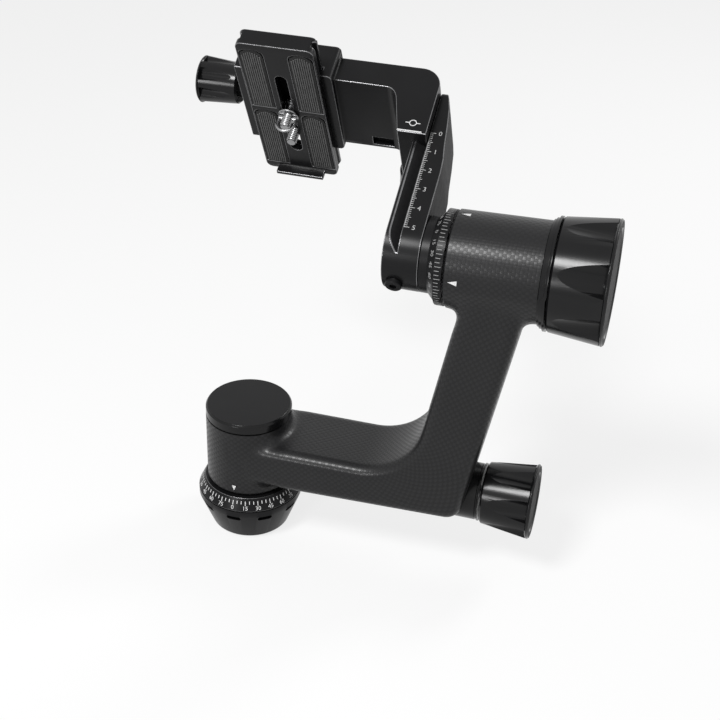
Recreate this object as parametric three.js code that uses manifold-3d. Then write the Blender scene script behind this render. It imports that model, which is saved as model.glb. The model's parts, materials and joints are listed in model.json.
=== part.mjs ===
// Gimbal tripod head: a carbon fibre arm that turns on a pan base, and a cradle that tilts on its other end.
// Millimetres, +Z up. The origin lies on the pan axis, at the underside of the base. The arm reaches along +X,
// and the tilt axis lies along X too, at tiltHeight. The cradle is built upright in its own frame: x along the
// tilt axis, y from the tilt axis to the clamp, z along the camera plate. That frame leans by cradleLean.
import * as THREE from "three";
import { mergeVertices } from "three/addons/utils/BufferGeometryUtils.js";
import Module from "manifold-3d";

const wasm = await Module();
wasm.setup();

// Clearances shared by every piece.
const fitGap = 0.3;
const runGap = 0.4;
const overrun = 2;
const weld = 1e-4;

// How finely round pieces are cut up.
const coarse = 10;
const medium = 20;
const fine = 35;
const arcSteps = 5;
const cornerSteps = 3;
const wireSides = 8;
const ballSides = 6;
const ballRings = 4;
const nutSides = 6;

// Places of the two axes. The pan lock's axis lies a little below the middle between the pan bearings.
const tiltHeight = 206.8;
const cradleLean = THREE.MathUtils.degToRad(29.26);
const panLockDrop = 1;

// Pan base.
const baseFootRadius = 24.5;
const baseFootChamfer = 1;
const baseConeHeight = 21;
const baseRimLand = 10.25;
const baseRimHeight = 4;
const baseHubStep = 1.5;
const baseHubHeight = 2.5;
const notchCount = 10;
const notchWidth = 9;
const notchHeight = 3.2;
const notchDepth = 1.8;
const bushRadius = 8;
const bushHeight = 14;
const threadRadius = 4.76;
const panScaleStep = 0.25;
const panScaleTopShare = 0.66;
const panScaleHeight = 7.8;
const panScaleWall = 0.6;
const spindleFlangeEdge = 0.8;
const spindleFlangeHeight = 4;
const spindleShoulderEdge = 0.2;
const spindleShoulderHeight = 4.2;
const spindleScrewClear = 0.1;
const spindleScrewCount = 2;
const spindleScrewRadius = 2;
const spindleScrewHeadRadius = 3.5;
const spindleScrewHeadHeight = 2.4;
const spindleScrewLength = 12;

// Ball bearings of 20 by 37 by 9, two on each axis.
const bearingBore = 10;
const bearingOuter = 18.5;
const bearingWidth = 9;
const bearingRaceWall = 2.4;
const ballRadius = 1.7;
const ballCount = 8;
const cageHalfWidth = 1.4;
const cageWall = 1.3;
const shoulderStep = 2.5;
const bearingNutRadius = 14;
const bearingNutWidth = 4.4;
const shaftEndReach = 0.7;

// Arm shell: pan barrel, horizontal arm, elbow, leaning upright and tilt barrel.
const shellWall = 3;
const armHalfWidth = 26.5;
const armEdgeRadius = 8;
const armTop = 71;
const armBottomAtBarrel = 42;
const armBottomAtElbow = 45.2;
const elbowReach = 138.2;
const elbowRadius = 9.5;
const innerCornerRadius = 38;
const uprightThickness = 35.5;
const uprightLean = THREE.MathUtils.degToRad(10.9);
const uprightTopWidthShare = 0.93;
const barrelLow = 33.5;
const barrelHigh = 79;
const barrelEdge = 1.5;
const panShoulderLength = 14.8;
const sleeveInset = 0.5;
const capRadius = 26.4;
const capHeight = 6.7;
const capChamfer = 1.1;
const capSpigotHeight = 2.6;
const tiltBarrelOverhang = 2.68;
const tiltBarrelLength = 51.2;
const tiltBarrelLeftRadius = 27.4;
const tiltBarrelRightRadius = 28.5;
const tiltShoulderLength = 18.7;
const tiltBearingInset = 2.8;
const endFlangeStep = 1.5;
const endFlangeWidth = 4.3;
const endFlangeOuterRadius = 31.6;
const endFlangeSpigot = 1;

// Pan lock: collar on the elbow, knob, screw, push rod and brake pad.
const collarRadius = 17.2;
const collarReach = 9;
const collarLength = 18.5;
const collarSpigotRadius = 5.1;
const collarSpigotLength = 3;
const collarRimRadius = 17.6;
const collarRimWidth = 1.2;
const panScrewRadius = 3.9;
const panScrewInset = 1;
const panScrewHold = 11;
const pushRodRadius = 2.8;
const brakePadRadius = 4.6;
const brakePadThickness = 3.6;
const panKnobGap = 1.1;
const panKnobLength = 30.8;
const panKnobSmallRadius = 18.7;
const panKnobLargeRadius = 22.6;

// Tilt lock: knob, screw and brake disc.
const tiltBrakeThickness = 3.2;
const tiltScrewRadius = 6;
const tiltScrewHold = 14;
const tiltKnobLength = 31.3;
const tiltKnobSmallRadius = 31.6;
const tiltKnobLargeRadius = 34.7;

// Both lock knobs and the clamp knob carry tapered flutes.
const fluteCount = 7;
const knobEdge = 1.2;
const knobRim = 1.8;
const fluteDepthShare = 0.085;
const fluteRadiusShare = 0.35;
const fluteStartShare = 0.14;

// Tilt shaft and the scale ring that turns with the cradle.
const shaftSpigotRadius = 8;
const shaftSpigotDepth = 17;
const shaftCollarRadius = 13;
const tiltRingNeckRadius = 21.3;
const tiltRingNeckWidth = 4.8;
const tiltRingConeWidth = 4.5;
const tiltRingBandWidth = 4.5;
const tiltRingConeRadius = 26;
const tiltRingBandRadius = 26.8;
const tiltRingGap = 1.3;

// Slide bar: a round hub with a dovetail bar.
const barHalfWidth = 21.3;
const barReach = 96;
const barThickness = 20.4;
const barLip = 2;
const barSlope = 5.5;
const barSlopeLand = 0.9;
const barNeckHalfWidth = 17;
const barTaperStart = 40;
const barTaperDrop = 8.4;
const barEndRadius = 4;
const barBackShares = [[0, 0], [0.16, 0.05], [0.32, 0.22], [0.57, 0.4], [0.79, 0.6], [0.91, 0.8], [1, 1]];
const hubScrewRadius = 4.75;
const hubScrewProud = 2.5;
const hubScrewShankRadius = 3;
const hubScrewInset = 7.2;
const stopScrewRadius = 2;
const stopScrewHeadRadius = 3.4;
const stopScrewHeadHeight = 2.2;
const stopScrewLength = 9;
const stopScrewInset = 7;

// Bracket: a leg that rides on the bar, and a foot that carries the clamp.
const bracketHalfWidth = 28.8;
const legBelowBarEnd = 37.5;
const legEndThickness = 16.5;
const legKneeThickness = 22.2;
const legKneeRise = 21;
const legBendShare = 0.1;
const footRise = 29.5;
const footThickness = 16.5;
const footBendReach = 30.1;
const footCornerRadius = 12;
const footWindowWidth = 13;
const footWindowLength = 7;
const footWindowDepth = 4;
const footWindowEdge = 2;

// Clamp seat at the end of the foot.
const clampLow = -28.8;
const clampHigh = 37.3;
const clampRight = 33;
const clampLeft = -18;
const clampBackStep = 0.5;
const clampSeatStep = 0.9;
const clampCornerRadius = 3;
const jawThickness = 6.5;
const jawInset = 1.5;
const jawReserve = 1.2;
const clampAxisInset = 9.4;
const clampAxisSide = 4.2;
const clampScrewRadius = 4;
const clampScrewGrip = 24;
const clampScrewHold = 11;
const guidePinRadius = 3;
const guidePinSpread = 25.5;
const guidePinGrip = 4.5;
const guidePinReach = 14;
const clampKnobGap = 4.5;
const clampKnobLength = 25;
const clampKnobSmallRadius = 12;
const clampKnobLargeRadius = 14;
const clampKnobNeckRadius = 7.6;

// Slide lock on the bracket's far side.
const gibRise = 7.5;
const gibLength = 22;
const gibWall = 6.6;
const gibThickness = 10;
const slideLockInset = 5.4;
const slideScrewRadius = 2.4;
const slideScrewGrip = 12;
const slideKnobRadius = 10.6;
const slideKnobLargeRadius = 11.6;
const slideKnobLength = 13;
const slideKnobHold = 8;

// Quick-release plate with a dovetail back.
const plateCentre = 4;
const plateHalfWidth = 23;
const plateLow = -50.8;
const plateHigh = 62.2;
const plateThickness = 10.6;
const plateBodyThickness = 4.3;
const plateNeckHalfWidth = 20.4;
const plateTailHalfWidth = 22.6;
const plateTailLand = 1.6;
const plateCornerRadius = 4;
const plateSlotHalfWidth = 3.5;
const plateSlotLow = -30;
const plateSlotHigh = 37.7;
const plateSlotChannel = 7.4;
const plateSlotFloor = 4.6;
const lipHalfWidth = 15;
const lipThickness = 2.5;
const lipPlace = -47.5;
const lipReach = 5.5;
const padWidth = 14;
const padOffset = 14.6;
const padProud = 0.6;
const padRecess = 1;
const padHighEnd = 57;
const padMiddle = 8.4;
const padLowEnd = -44.5;
const padArch = 3.5;

// Screws in the plate.
const screwWasherRadius = 6.2;
const screwWasherThickness = 1;
const cameraScrewRadius = 3.17;
const cameraScrewPlace = -15;
const cameraScrewProud = 6;
const cameraScrewHeadRadius = 6;
const cameraScrewHeadHeight = 3.6;
const ringScrewPlace = 4;
const ringScrewFlangeRadius = 6.2;
const ringScrewFlangeThickness = 1.5;
const ringScrewHeadRadius = 3.17;
const ringScrewHeadHeight = 7.7;
const ringAxisRise = 1.4;
const ringScrewNutThickness = 3;
const ringScrewShankRadius = 3.1;
const ringWire = 0.9;
const ringBowRadius = 5.4;
const ringLeg = 3.5;
const plateStopRadius = 1.8;
const plateStopHeadRadius = 2.6;
const plateStopHeadHeight = 1.6;
const plateStopDepth = 5;
const plateStopHigh = 55;
const plateStopLow = -46.4;

// Materials.
function finish(color, roughness, metalness) {
  return new THREE.MeshStandardMaterial({ color, roughness, metalness });
}
const anodised = () => finish(0x16171a, 0.32, 0.85);
const glossBlack = () => finish(0x101114, 0.18, 0.8);
const carbon = () => finish(0x1b1c1f, 0.42, 0.2);
const steel = () => finish(0xb9bcc0, 0.28, 1);
const bareAlloy = () => finish(0x8b8e93, 0.4, 0.9);
const rubber = () => finish(0x2a2a2c, 0.85, 0);
const bronze = () => finish(0x9a7436, 0.45, 0.8);

// Geometry helpers. A profile is a list of [radius, height] pairs that runs up the outside and down the bore.
function turned(profile, segments) {
  const points = profile.map(([radius, height]) => new THREE.Vector2(radius, height));
  return new THREE.LatheGeometry(points, segments).rotateX(Math.PI / 2);
}
function disc(radius, low, high, segments) {
  return turned([[0, low], [radius, low], [radius, high], [0, high]], segments);
}
function tube(inner, outer, low, high, segments) {
  return turned([[inner, low], [outer, low], [outer, high], [inner, high], [inner, low]], segments);
}
function block(xLow, xHigh, yLow, yHigh, zLow, zHigh) {
  const box = new THREE.BoxGeometry(xHigh - xLow, yHigh - yLow, zHigh - zLow);
  return box.translate((xLow + xHigh) / 2, (yLow + yHigh) / 2, (zLow + zHigh) / 2);
}
function shapeOf(points) {
  return new THREE.Shape(points.map(([x, y]) => new THREE.Vector2(x, y)));
}
// The same outline as plain points, each one once, which an extrusion with round edges needs.
function withoutRepeats(shape, curveSegments) {
  const points = shape.getPoints(curveSegments);
  const kept = points.filter((point, i) => point.distanceTo(points[(i + 1) % points.length]) > weld);
  return new THREE.Shape(kept);
}
function extruded(shape, low, high, curveSegments = coarse) {
  const settings = { depth: high - low, bevelEnabled: false, curveSegments };
  return new THREE.ExtrudeGeometry(shape, settings).translate(0, 0, low);
}
function roundedRectangle(xLow, xHigh, yLow, yHigh, radius) {
  const shape = new THREE.Shape();
  shape.absarc(xHigh - radius, yLow + radius, radius, -Math.PI / 2, 0);
  shape.absarc(xHigh - radius, yHigh - radius, radius, 0, Math.PI / 2);
  shape.absarc(xLow + radius, yHigh - radius, radius, Math.PI / 2, Math.PI);
  shape.absarc(xLow + radius, yLow + radius, radius, Math.PI, Math.PI * 1.5);
  shape.closePath();
  return shape;
}
function obround(x, yLow, yHigh, radius) {
  const shape = new THREE.Shape();
  shape.absarc(x, yHigh - radius, radius, 0, Math.PI);
  shape.absarc(x, yLow + radius, radius, Math.PI, Math.PI * 2);
  shape.closePath();
  return shape;
}
// These turn a piece that was made along z onto another axis, or a flat outline onto another plane.
const alongX = (geometry) => geometry.rotateY(Math.PI / 2);
const alongY = (geometry) => geometry.rotateX(-Math.PI / 2);
const acrossY = (geometry) => geometry.rotateX(Math.PI / 2);
const cyclic = new THREE.Matrix4().set(0, 0, 1, 0, 1, 0, 0, 0, 0, 1, 0, 0, 0, 0, 0, 1);
const facingX = (geometry) => geometry.applyMatrix4(cyclic);

// A closed geometry as a solid that can be joined and cut, and back.
function solid(geometry) {
  const loose = geometry.index ? geometry.toNonIndexed() : geometry;
  const bare = new THREE.BufferGeometry();
  bare.setAttribute("position", loose.getAttribute("position"));
  const merged = mergeVertices(bare, weld);
  const vertProperties = merged.attributes.position.array;
  const triVerts = new Uint32Array(merged.index.array);
  return new wasm.Manifold(new wasm.Mesh({ numProp: 3, vertProperties, triVerts }));
}
function joined(first, ...rest) {
  return rest.reduce((whole, piece) => whole.add(piece), first);
}
function cut(body, ...tools) {
  return tools.reduce((whole, tool) => whole.subtract(tool), body);
}
function geometryOf(manifold) {
  const mesh = manifold.getMesh();
  const geometry = new THREE.BufferGeometry();
  geometry.setAttribute("position", new THREE.BufferAttribute(mesh.vertProperties, 3));
  geometry.setIndex(new THREE.BufferAttribute(mesh.triVerts, 1));
  geometry.computeVertexNormals();
  return geometry;
}

const head = new THREE.Group();
const cradle = new THREE.Group();
cradle.position.z = tiltHeight;
cradle.rotation.x = cradleLean;
head.add(cradle);

function add(group, name, shape, material) {
  const geometry = shape.isBufferGeometry ? shape : geometryOf(shape);
  const mesh = new THREE.Mesh(geometry, material);
  mesh.name = name;
  group.add(mesh);
}

// Radii of the base, from the bearing outwards: shoulder, flange with its screws, hub and rim.
const spindleShoulderRadius = bearingBore + bearingRaceWall + spindleShoulderEdge;
const spindleScrewCircle = spindleShoulderRadius + spindleScrewHeadRadius + spindleScrewClear;
const spindleFlangeRadius = spindleScrewCircle + spindleScrewHeadRadius + spindleFlangeEdge;
const baseHubRadius = spindleFlangeRadius + baseHubStep;
const baseRimRadius = baseHubRadius + baseRimLand;

// Heights of the stack on the pan axis, from the base upwards.
const baseTop = baseConeHeight + baseRimHeight;
const baseHubTop = baseTop + baseHubHeight;
const spindleFlangeLow = baseHubTop + fitGap;
const spindleFlangeTop = spindleFlangeLow + spindleFlangeHeight;
const spindleShoulderTop = spindleFlangeTop + spindleShoulderHeight;
const panLowerBearing = spindleShoulderTop + fitGap;
const panShoulderLow = panLowerBearing + bearingWidth + fitGap;
const panShoulderHigh = panShoulderLow + panShoulderLength;
const panUpperBearing = panShoulderHigh + fitGap;
const panNutLow = panUpperBearing + bearingWidth + fitGap;
const panNutHigh = panNutLow + bearingNutWidth;
const spindleTop = panNutHigh + shaftEndReach;
const panLockHeight = (panShoulderLow + panShoulderHigh) / 2 - panLockDrop;
const seatRadius = bearingOuter + fitGap;

// The upright's outer face at a height carries the tilt barrel at its top and the pan lock's collar at its foot.
const outerFaceAt = (z) => elbowReach + (z - armBottomAtElbow) * Math.tan(uprightLean);
const tiltBarrelRight = outerFaceAt(tiltHeight) + tiltBarrelOverhang;
const tiltBarrelLeft = tiltBarrelRight - tiltBarrelLength;
const endFlangeLeft = tiltBarrelRight + fitGap;
const endFlangeRight = endFlangeLeft + endFlangeWidth;
const tiltKnobStart = endFlangeRight + runGap;
const collarFace = outerFaceAt(panLockHeight) + collarReach;
const collarBack = collarFace - collarLength;
const collarSpigotBack = collarBack - collarSpigotLength;
const panScrewEnd = collarBack + panScrewInset;
const panKnobStart = collarFace + panKnobGap;

// The cradle hangs on the tilt axis: the scale ring runs beside the barrel, and the slide bar beside the ring.
const tiltRingRight = tiltBarrelLeft - tiltRingGap;
const tiltRingBandLeft = tiltRingRight - tiltRingBandWidth;
const tiltRingConeLeft = tiltRingBandLeft - tiltRingConeWidth;
const tiltRingLeft = tiltRingConeLeft - tiltRingNeckWidth;
const barBack = tiltRingLeft - fitGap;
const barFront = barBack - barThickness;
const barSlopeEnd = barFront + barLip + barSlope;
const barGrooveBack = barSlopeEnd + barSlopeLand;

// The bracket sits near the end of the bar, and its foot carries the clamp and the plate.
const legEnd = barReach - legBelowBarEnd;
const legKnee = legEnd + legKneeRise;
const footFront = legEnd + footRise;
const footBack = footFront + footThickness;
const clampBack = footBack + clampBackStep;
const clampAxisFront = clampBack - clampAxisInset;
const seatFront = footFront + clampSeatStep;
const plateBack = seatFront - fitGap;
const plateFront = plateBack - plateThickness;
const gibLow = legEnd + gibRise;
const gibHigh = gibLow + gibLength;
const slideLockHeight = (gibLow + gibHigh) / 2;

// Places on the tilt axis, from the left bearing to the brake disc.
const tiltLeftBearing = tiltBarrelLeft + tiltBearingInset;
const tiltShoulderLeft = tiltLeftBearing + bearingWidth + fitGap;
const tiltShoulderRight = tiltShoulderLeft + tiltShoulderLength;
const tiltRightBearing = tiltShoulderRight + fitGap;
const tiltNutLeft = tiltRightBearing + bearingWidth + fitGap;
const tiltNutRight = tiltNutLeft + bearingNutWidth;
const shaftRight = tiltNutRight + shaftEndReach;
const brakeDiscLeft = shaftRight + fitGap;
const brakeDiscRight = brakeDiscLeft + tiltBrakeThickness;

// Pan base: a conical foot with grip notches under its rim, a threaded bush and a scale ring.
function makeBasePlate() {
  const profile = [
    [0, bushHeight + fitGap],
    [bushRadius + fitGap, bushHeight + fitGap],
    [bushRadius + fitGap, 0],
    [baseFootRadius - baseFootChamfer, 0],
    [baseFootRadius, baseFootChamfer],
    [baseRimRadius, baseConeHeight],
    [baseRimRadius, baseTop],
    [baseHubRadius, baseTop],
    [baseHubRadius, baseHubTop],
    [0, baseHubTop],
  ];
  let plate = solid(turned(profile, fine));
  for (let i = 0; i < notchCount; i += 1) {
    const inner = baseRimRadius - notchDepth;
    const notch = block(
      inner - notchDepth, baseRimRadius + overrun, -notchWidth / 2, notchWidth / 2,
      baseConeHeight - notchHeight, baseConeHeight,
    );
    plate = cut(plate, solid(notch.rotateZ((i + 0.5) * 2 * Math.PI / notchCount)));
  }
  for (let i = 0; i < spindleScrewCount; i += 1) {
    const low = baseHubTop - spindleScrewLength;
    const hole = disc(spindleScrewRadius + fitGap, low, baseHubTop + overrun, coarse);
    plate = cut(plate, solid(placeSpindleScrew(hole, i)));
  }
  return plate;
}
function placeSpindleScrew(geometry, index) {
  return geometry.translate(0, spindleScrewCircle, 0).rotateZ(index * 2 * Math.PI / spindleScrewCount);
}
add(head, "base_plate", makeBasePlate(), anodised());
add(head, "tripod_thread_bush", tube(threadRadius, bushRadius, 0, bushHeight, medium), steel());

const panScaleLow = baseTop + fitGap;
const panScaleWideRadius = baseRimRadius - panScaleStep;
const panScaleTopRadius = THREE.MathUtils.lerp(baseHubRadius, panScaleWideRadius, panScaleTopShare);
const panScaleProfile = [
  [baseHubRadius + fitGap, panScaleLow],
  [panScaleWideRadius, panScaleLow],
  [panScaleTopRadius, panScaleLow + panScaleHeight - panScaleWall],
  [panScaleTopRadius - panScaleWall, panScaleLow + panScaleHeight],
  [baseHubRadius + fitGap, panScaleLow + panScaleHeight],
  [baseHubRadius + fitGap, panScaleLow],
];
add(head, "pan_scale_ring", turned(panScaleProfile, fine), anodised());

// Pan spindle with its flange, the screws that hold it, and the bearings' inner races, balls and nut.
function makeSpindle() {
  const profile = [
    [0, spindleFlangeLow],
    [spindleFlangeRadius, spindleFlangeLow],
    [spindleFlangeRadius, spindleFlangeTop],
    [spindleShoulderRadius, spindleFlangeTop],
    [spindleShoulderRadius, spindleShoulderTop],
    [bearingBore - fitGap, spindleShoulderTop],
    [bearingBore - fitGap, spindleTop],
    [0, spindleTop],
  ];
  const sink = spindleFlangeTop - spindleScrewHeadHeight / 2;
  let spindle = solid(turned(profile, medium));
  for (let i = 0; i < spindleScrewCount; i += 1) {
    const hole = disc(spindleScrewRadius + fitGap, spindleFlangeLow - overrun, sink + overrun, coarse);
    const seat = disc(spindleScrewHeadRadius + fitGap, sink, spindleFlangeTop + overrun, coarse);
    spindle = cut(spindle, solid(placeSpindleScrew(hole, i)), solid(placeSpindleScrew(seat, i)));
  }
  return spindle;
}
add(head, "pan_spindle", makeSpindle(), steel());
for (let i = 0; i < spindleScrewCount; i += 1) {
  const headLow = spindleFlangeTop - spindleScrewHeadHeight / 2 + fitGap;
  const profile = [
    [0, headLow - spindleScrewLength + overrun],
    [spindleScrewRadius, headLow - spindleScrewLength + overrun],
    [spindleScrewRadius, headLow],
    [spindleScrewHeadRadius, headLow],
    [spindleScrewHeadRadius, headLow + spindleScrewHeadHeight],
    [0, headLow + spindleScrewHeadHeight],
  ];
  add(head, "spindle_screw_" + (i + 1), placeSpindleScrew(turned(profile, coarse), i), steel());
}

// A bearing's three pieces, made along z from its lower face, then turned onto its own axis.
function addBearing(group, name, low, place) {
  const pitch = (bearingBore + bearingOuter) / 2;
  const middle = low + bearingWidth / 2;
  const innerRace = tube(bearingBore, bearingBore + bearingRaceWall, low, low + bearingWidth, medium);
  const outerRace = tube(bearingOuter - bearingRaceWall, bearingOuter, low, low + bearingWidth, medium);
  let balls = solid(tube(
    pitch - cageWall / 2, pitch + cageWall / 2, middle - cageHalfWidth, middle + cageHalfWidth, 2 * ballCount,
  ));
  for (let i = 0; i < ballCount; i += 1) {
    const ball = new THREE.SphereGeometry(ballRadius, ballSides, ballRings).translate(pitch, 0, middle);
    balls = joined(balls, solid(ball.rotateZ(i * 2 * Math.PI / ballCount)));
  }
  add(group, name + "_inner_race", place(innerRace), steel());
  add(group, name + "_balls", place(geometryOf(balls)), steel());
  add(group, name + "_outer_race", place(outerRace), steel());
}
const upright = (geometry) => geometry;
addBearing(head, "pan_bearing_lower", panLowerBearing, upright);
addBearing(head, "pan_bearing_upper", panUpperBearing, upright);
function hexNut(bore, corner, low, high) {
  const hole = disc(bore, low - overrun, high + overrun, medium);
  return geometryOf(cut(solid(disc(corner, low, high, nutSides)), solid(hole)));
}
const panNut = hexNut(bearingBore, bearingNutRadius, panNutLow, panNutHigh);
add(head, "pan_retaining_nut", panNut, steel());

// The arm's side outline, drawn in x and z, with every face moved inwards by an inset.
function armOutline(inset) {
  const lean = Math.tan(uprightLean);
  const slope = (armBottomAtElbow - armBottomAtBarrel) / elbowReach;
  const slopeAngle = Math.atan(slope);
  const outerAt = (z) => outerFaceAt(z) - inset / Math.cos(uprightLean);
  const innerAt = (z) => outerAt(z) - (uprightThickness - 2 * inset) / Math.cos(uprightLean);
  const bottomAt = (x) => armBottomAtBarrel + inset / Math.cos(slopeAngle) + x * slope;
  const top = armTop - inset;
  const outerRadius = elbowRadius - inset;
  const innerRadius = innerCornerRadius + inset;
  const cornerZ = top + innerRadius;
  const cornerX = innerAt(cornerZ) - innerRadius / Math.cos(uprightLean);
  const lift = outerRadius / Math.cos(slopeAngle);
  const base = outerAt(bottomAt(0) + lift) - outerRadius / Math.cos(uprightLean);
  const elbowX = base / (1 - lean * slope);
  const elbowZ = bottomAt(elbowX) + lift;
  const outline = new THREE.Shape();
  outline.moveTo(0, bottomAt(0));
  outline.lineTo(elbowX + outerRadius * Math.sin(slopeAngle), elbowZ - outerRadius * Math.cos(slopeAngle));
  outline.absarc(elbowX, elbowZ, outerRadius, slopeAngle - Math.PI / 2, -uprightLean);
  outline.lineTo(outerAt(tiltHeight), tiltHeight);
  outline.lineTo(innerAt(tiltHeight), tiltHeight);
  outline.absarc(cornerX, cornerZ, innerRadius, -uprightLean, -Math.PI / 2, true);
  outline.lineTo(0, top);
  outline.closePath();
  return outline;
}
// The outline made solid across y, with round edges, and narrowed a little towards the tilt axis.
function armBar(inset) {
  const round = armEdgeRadius - inset;
  const halfWidth = armHalfWidth - inset;
  const settings = {
    depth: 2 * (halfWidth - round),
    bevelSize: round,
    bevelThickness: round,
    bevelOffset: -round,
    bevelSegments: 3,
  };
  const outline = withoutRepeats(armOutline(inset), arcSteps);
  const bar = acrossY(new THREE.ExtrudeGeometry(outline, settings)).translate(0, halfWidth - round, 0);
  const places = bar.getAttribute("position");
  for (let i = 0; i < places.count; i += 1) {
    const rise = THREE.MathUtils.clamp((places.getZ(i) - armTop) / (tiltHeight - armTop), 0, 1);
    places.setY(i, places.getY(i) * THREE.MathUtils.lerp(1, uprightTopWidthShare, rise));
  }
  return solid(bar);
}
const barrelBore = armHalfWidth - shellWall;
const tiltBore = tiltBarrelLeftRadius - shellWall;
function makeArmShell() {
  const barrelProfile = [
    [0, barrelLow],
    [armHalfWidth - barrelEdge, barrelLow],
    [armHalfWidth, barrelLow + barrelEdge],
    [armHalfWidth, barrelHigh],
    [0, barrelHigh],
  ];
  const tiltProfile = [
    [0, tiltBarrelLeft],
    [tiltBarrelLeftRadius, tiltBarrelLeft],
    [tiltBarrelRightRadius, tiltBarrelRight],
    [0, tiltBarrelRight],
  ];
  const barrel = solid(turned(barrelProfile, fine));
  const tiltBarrel = solid(alongX(turned(tiltProfile, fine)).translate(0, 0, tiltHeight));
  const hollow = cut(armBar(shellWall), barrel, tiltBarrel);
  const barrelHole = solid(disc(barrelBore, barrelLow - overrun, barrelHigh + overrun, fine));
  const tiltHole = disc(tiltBore, tiltBarrelLeft - overrun, tiltBarrelRight + overrun, fine);
  const rodHole = disc(pushRodRadius + fitGap, 0, elbowReach, coarse);
  const spigotHole = disc(collarSpigotRadius + fitGap, collarSpigotBack - overrun, collarFace, coarse);
  return cut(
    joined(armBar(0), barrel, tiltBarrel),
    hollow,
    barrelHole,
    solid(alongX(tiltHole).translate(0, 0, tiltHeight)),
    solid(alongX(rodHole).translate(0, 0, panLockHeight)),
    solid(alongX(spigotHole).translate(0, 0, panLockHeight)),
  );
}
add(head, "arm_shell", makeArmShell(), carbon());

// A sleeve that is bonded into a barrel: two bearing seats with a shoulder between them.
function sleeveProfile(outer, low, shoulderLow, shoulderHigh, high) {
  return [
    [seatRadius, low],
    [outer, low],
    [outer, high],
    [seatRadius, high],
    [seatRadius, shoulderHigh],
    [seatRadius - shoulderStep, shoulderHigh],
    [seatRadius - shoulderStep, shoulderLow],
    [seatRadius, shoulderLow],
    [seatRadius, low],
  ];
}
function makePanSleeve() {
  const profile = sleeveProfile(
    barrelBore - fitGap, barrelLow + sleeveInset, panShoulderLow, panShoulderHigh, barrelHigh - sleeveInset,
  );
  const rodHole = disc(pushRodRadius + fitGap, 0, barrelBore + overrun, coarse);
  return cut(solid(turned(profile, fine)), solid(alongX(rodHole).translate(0, 0, panLockHeight)));
}
add(head, "pan_bearing_sleeve", makePanSleeve(), bareAlloy());
const tiltSleeve = sleeveProfile(
  tiltBore - fitGap, tiltBarrelLeft + sleeveInset, tiltShoulderLeft, tiltShoulderRight,
  tiltBarrelRight - sleeveInset,
);
add(head, "tilt_bearing_sleeve", alongX(turned(tiltSleeve, fine)).translate(0, 0, tiltHeight), bareAlloy());

const capLow = barrelHigh + fitGap;
const capProfile = [
  [0, capLow - capSpigotHeight],
  [seatRadius - fitGap, capLow - capSpigotHeight],
  [seatRadius - fitGap, capLow],
  [capRadius, capLow],
  [capRadius, capLow + capHeight - capChamfer],
  [capRadius - capChamfer, capLow + capHeight],
  [0, capLow + capHeight],
];
add(head, "pan_cap", turned(capProfile, fine), anodised());

// End flange of the tilt barrel, in two steps, with the thread of the tilt lock.
const endFlangeProfile = [
  [tiltScrewRadius + fitGap, endFlangeLeft - endFlangeSpigot],
  [seatRadius - fitGap, endFlangeLeft - endFlangeSpigot],
  [seatRadius - fitGap, endFlangeLeft],
  [endFlangeOuterRadius - endFlangeStep, endFlangeLeft],
  [endFlangeOuterRadius - endFlangeStep, endFlangeRight - endFlangeStep],
  [endFlangeOuterRadius, endFlangeRight - endFlangeStep],
  [endFlangeOuterRadius, endFlangeRight],
  [tiltScrewRadius + fitGap, endFlangeRight],
  [tiltScrewRadius + fitGap, endFlangeLeft - endFlangeSpigot],
];
add(head, "tilt_end_flange", alongX(turned(endFlangeProfile, fine)).translate(0, 0, tiltHeight), anodised());

// A knob made along z: small end at zero, tapered flutes, a round rim at the large end and a blind bore.
function knob(length, smallRadius, largeRadius, boreRadius, boreDepth, segments) {
  const profile = [
    [0, boreDepth],
    [boreRadius, boreDepth],
    [boreRadius, 0],
    [smallRadius - knobEdge, 0],
    [smallRadius, knobEdge],
    [largeRadius, length - knobEdge],
    [largeRadius - knobEdge, length],
    [0, length],
  ];
  const fluteRadius = largeRadius * fluteRadiusShare;
  const depth = largeRadius * fluteDepthShare;
  const startHeight = length * fluteStartShare;
  const slant = Math.atan2(depth, length - startHeight);
  let body = solid(turned(profile, segments));
  for (let i = 0; i < fluteCount; i += 1) {
    const flute = new THREE.CylinderGeometry(fluteRadius, fluteRadius, 2 * length, coarse);
    flute.rotateX(Math.PI / 2).translate(0, 0, length);
    flute.rotateY(-slant);
    flute.translate(smallRadius + fluteRadius + (largeRadius - smallRadius) * fluteStartShare, 0, startHeight);
    flute.rotateZ((i + 0.5) * 2 * Math.PI / fluteCount);
    body = cut(body, solid(flute));
  }
  const rimProfile = [
    [0, length - knobRim],
    [largeRadius, length - knobRim],
    [largeRadius, length - knobEdge],
    [largeRadius - knobEdge, length],
    [0, length],
  ];
  return geometryOf(joined(body, solid(turned(rimProfile, segments))));
}

// Pan lock: the collar hugs the elbow and holds the thread, the screw pushes the rod, the rod the pad.
function makeCollar() {
  const outer = [
    [0, collarBack],
    [collarRadius, collarBack],
    [collarRadius, collarFace - collarRimWidth],
    [collarRimRadius, collarFace - collarRimWidth],
    [collarRimRadius, collarFace],
    [0, collarFace],
  ];
  const body = cut(solid(alongX(turned(outer, medium)).translate(0, 0, panLockHeight)), armBar(-fitGap));
  const spigot = disc(collarSpigotRadius, collarSpigotBack, collarFace - overrun, coarse);
  const bore = disc(panScrewRadius + fitGap, collarSpigotBack - overrun, collarFace + overrun, coarse);
  return cut(
    joined(body, solid(alongX(spigot).translate(0, 0, panLockHeight))),
    solid(alongX(bore).translate(0, 0, panLockHeight)),
  );
}
add(head, "pan_lock_collar", makeCollar(), glossBlack());
const panKnob = knob(
  panKnobLength, panKnobSmallRadius, panKnobLargeRadius, panScrewRadius + fitGap,
  panScrewHold + fitGap, fine,
);
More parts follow.
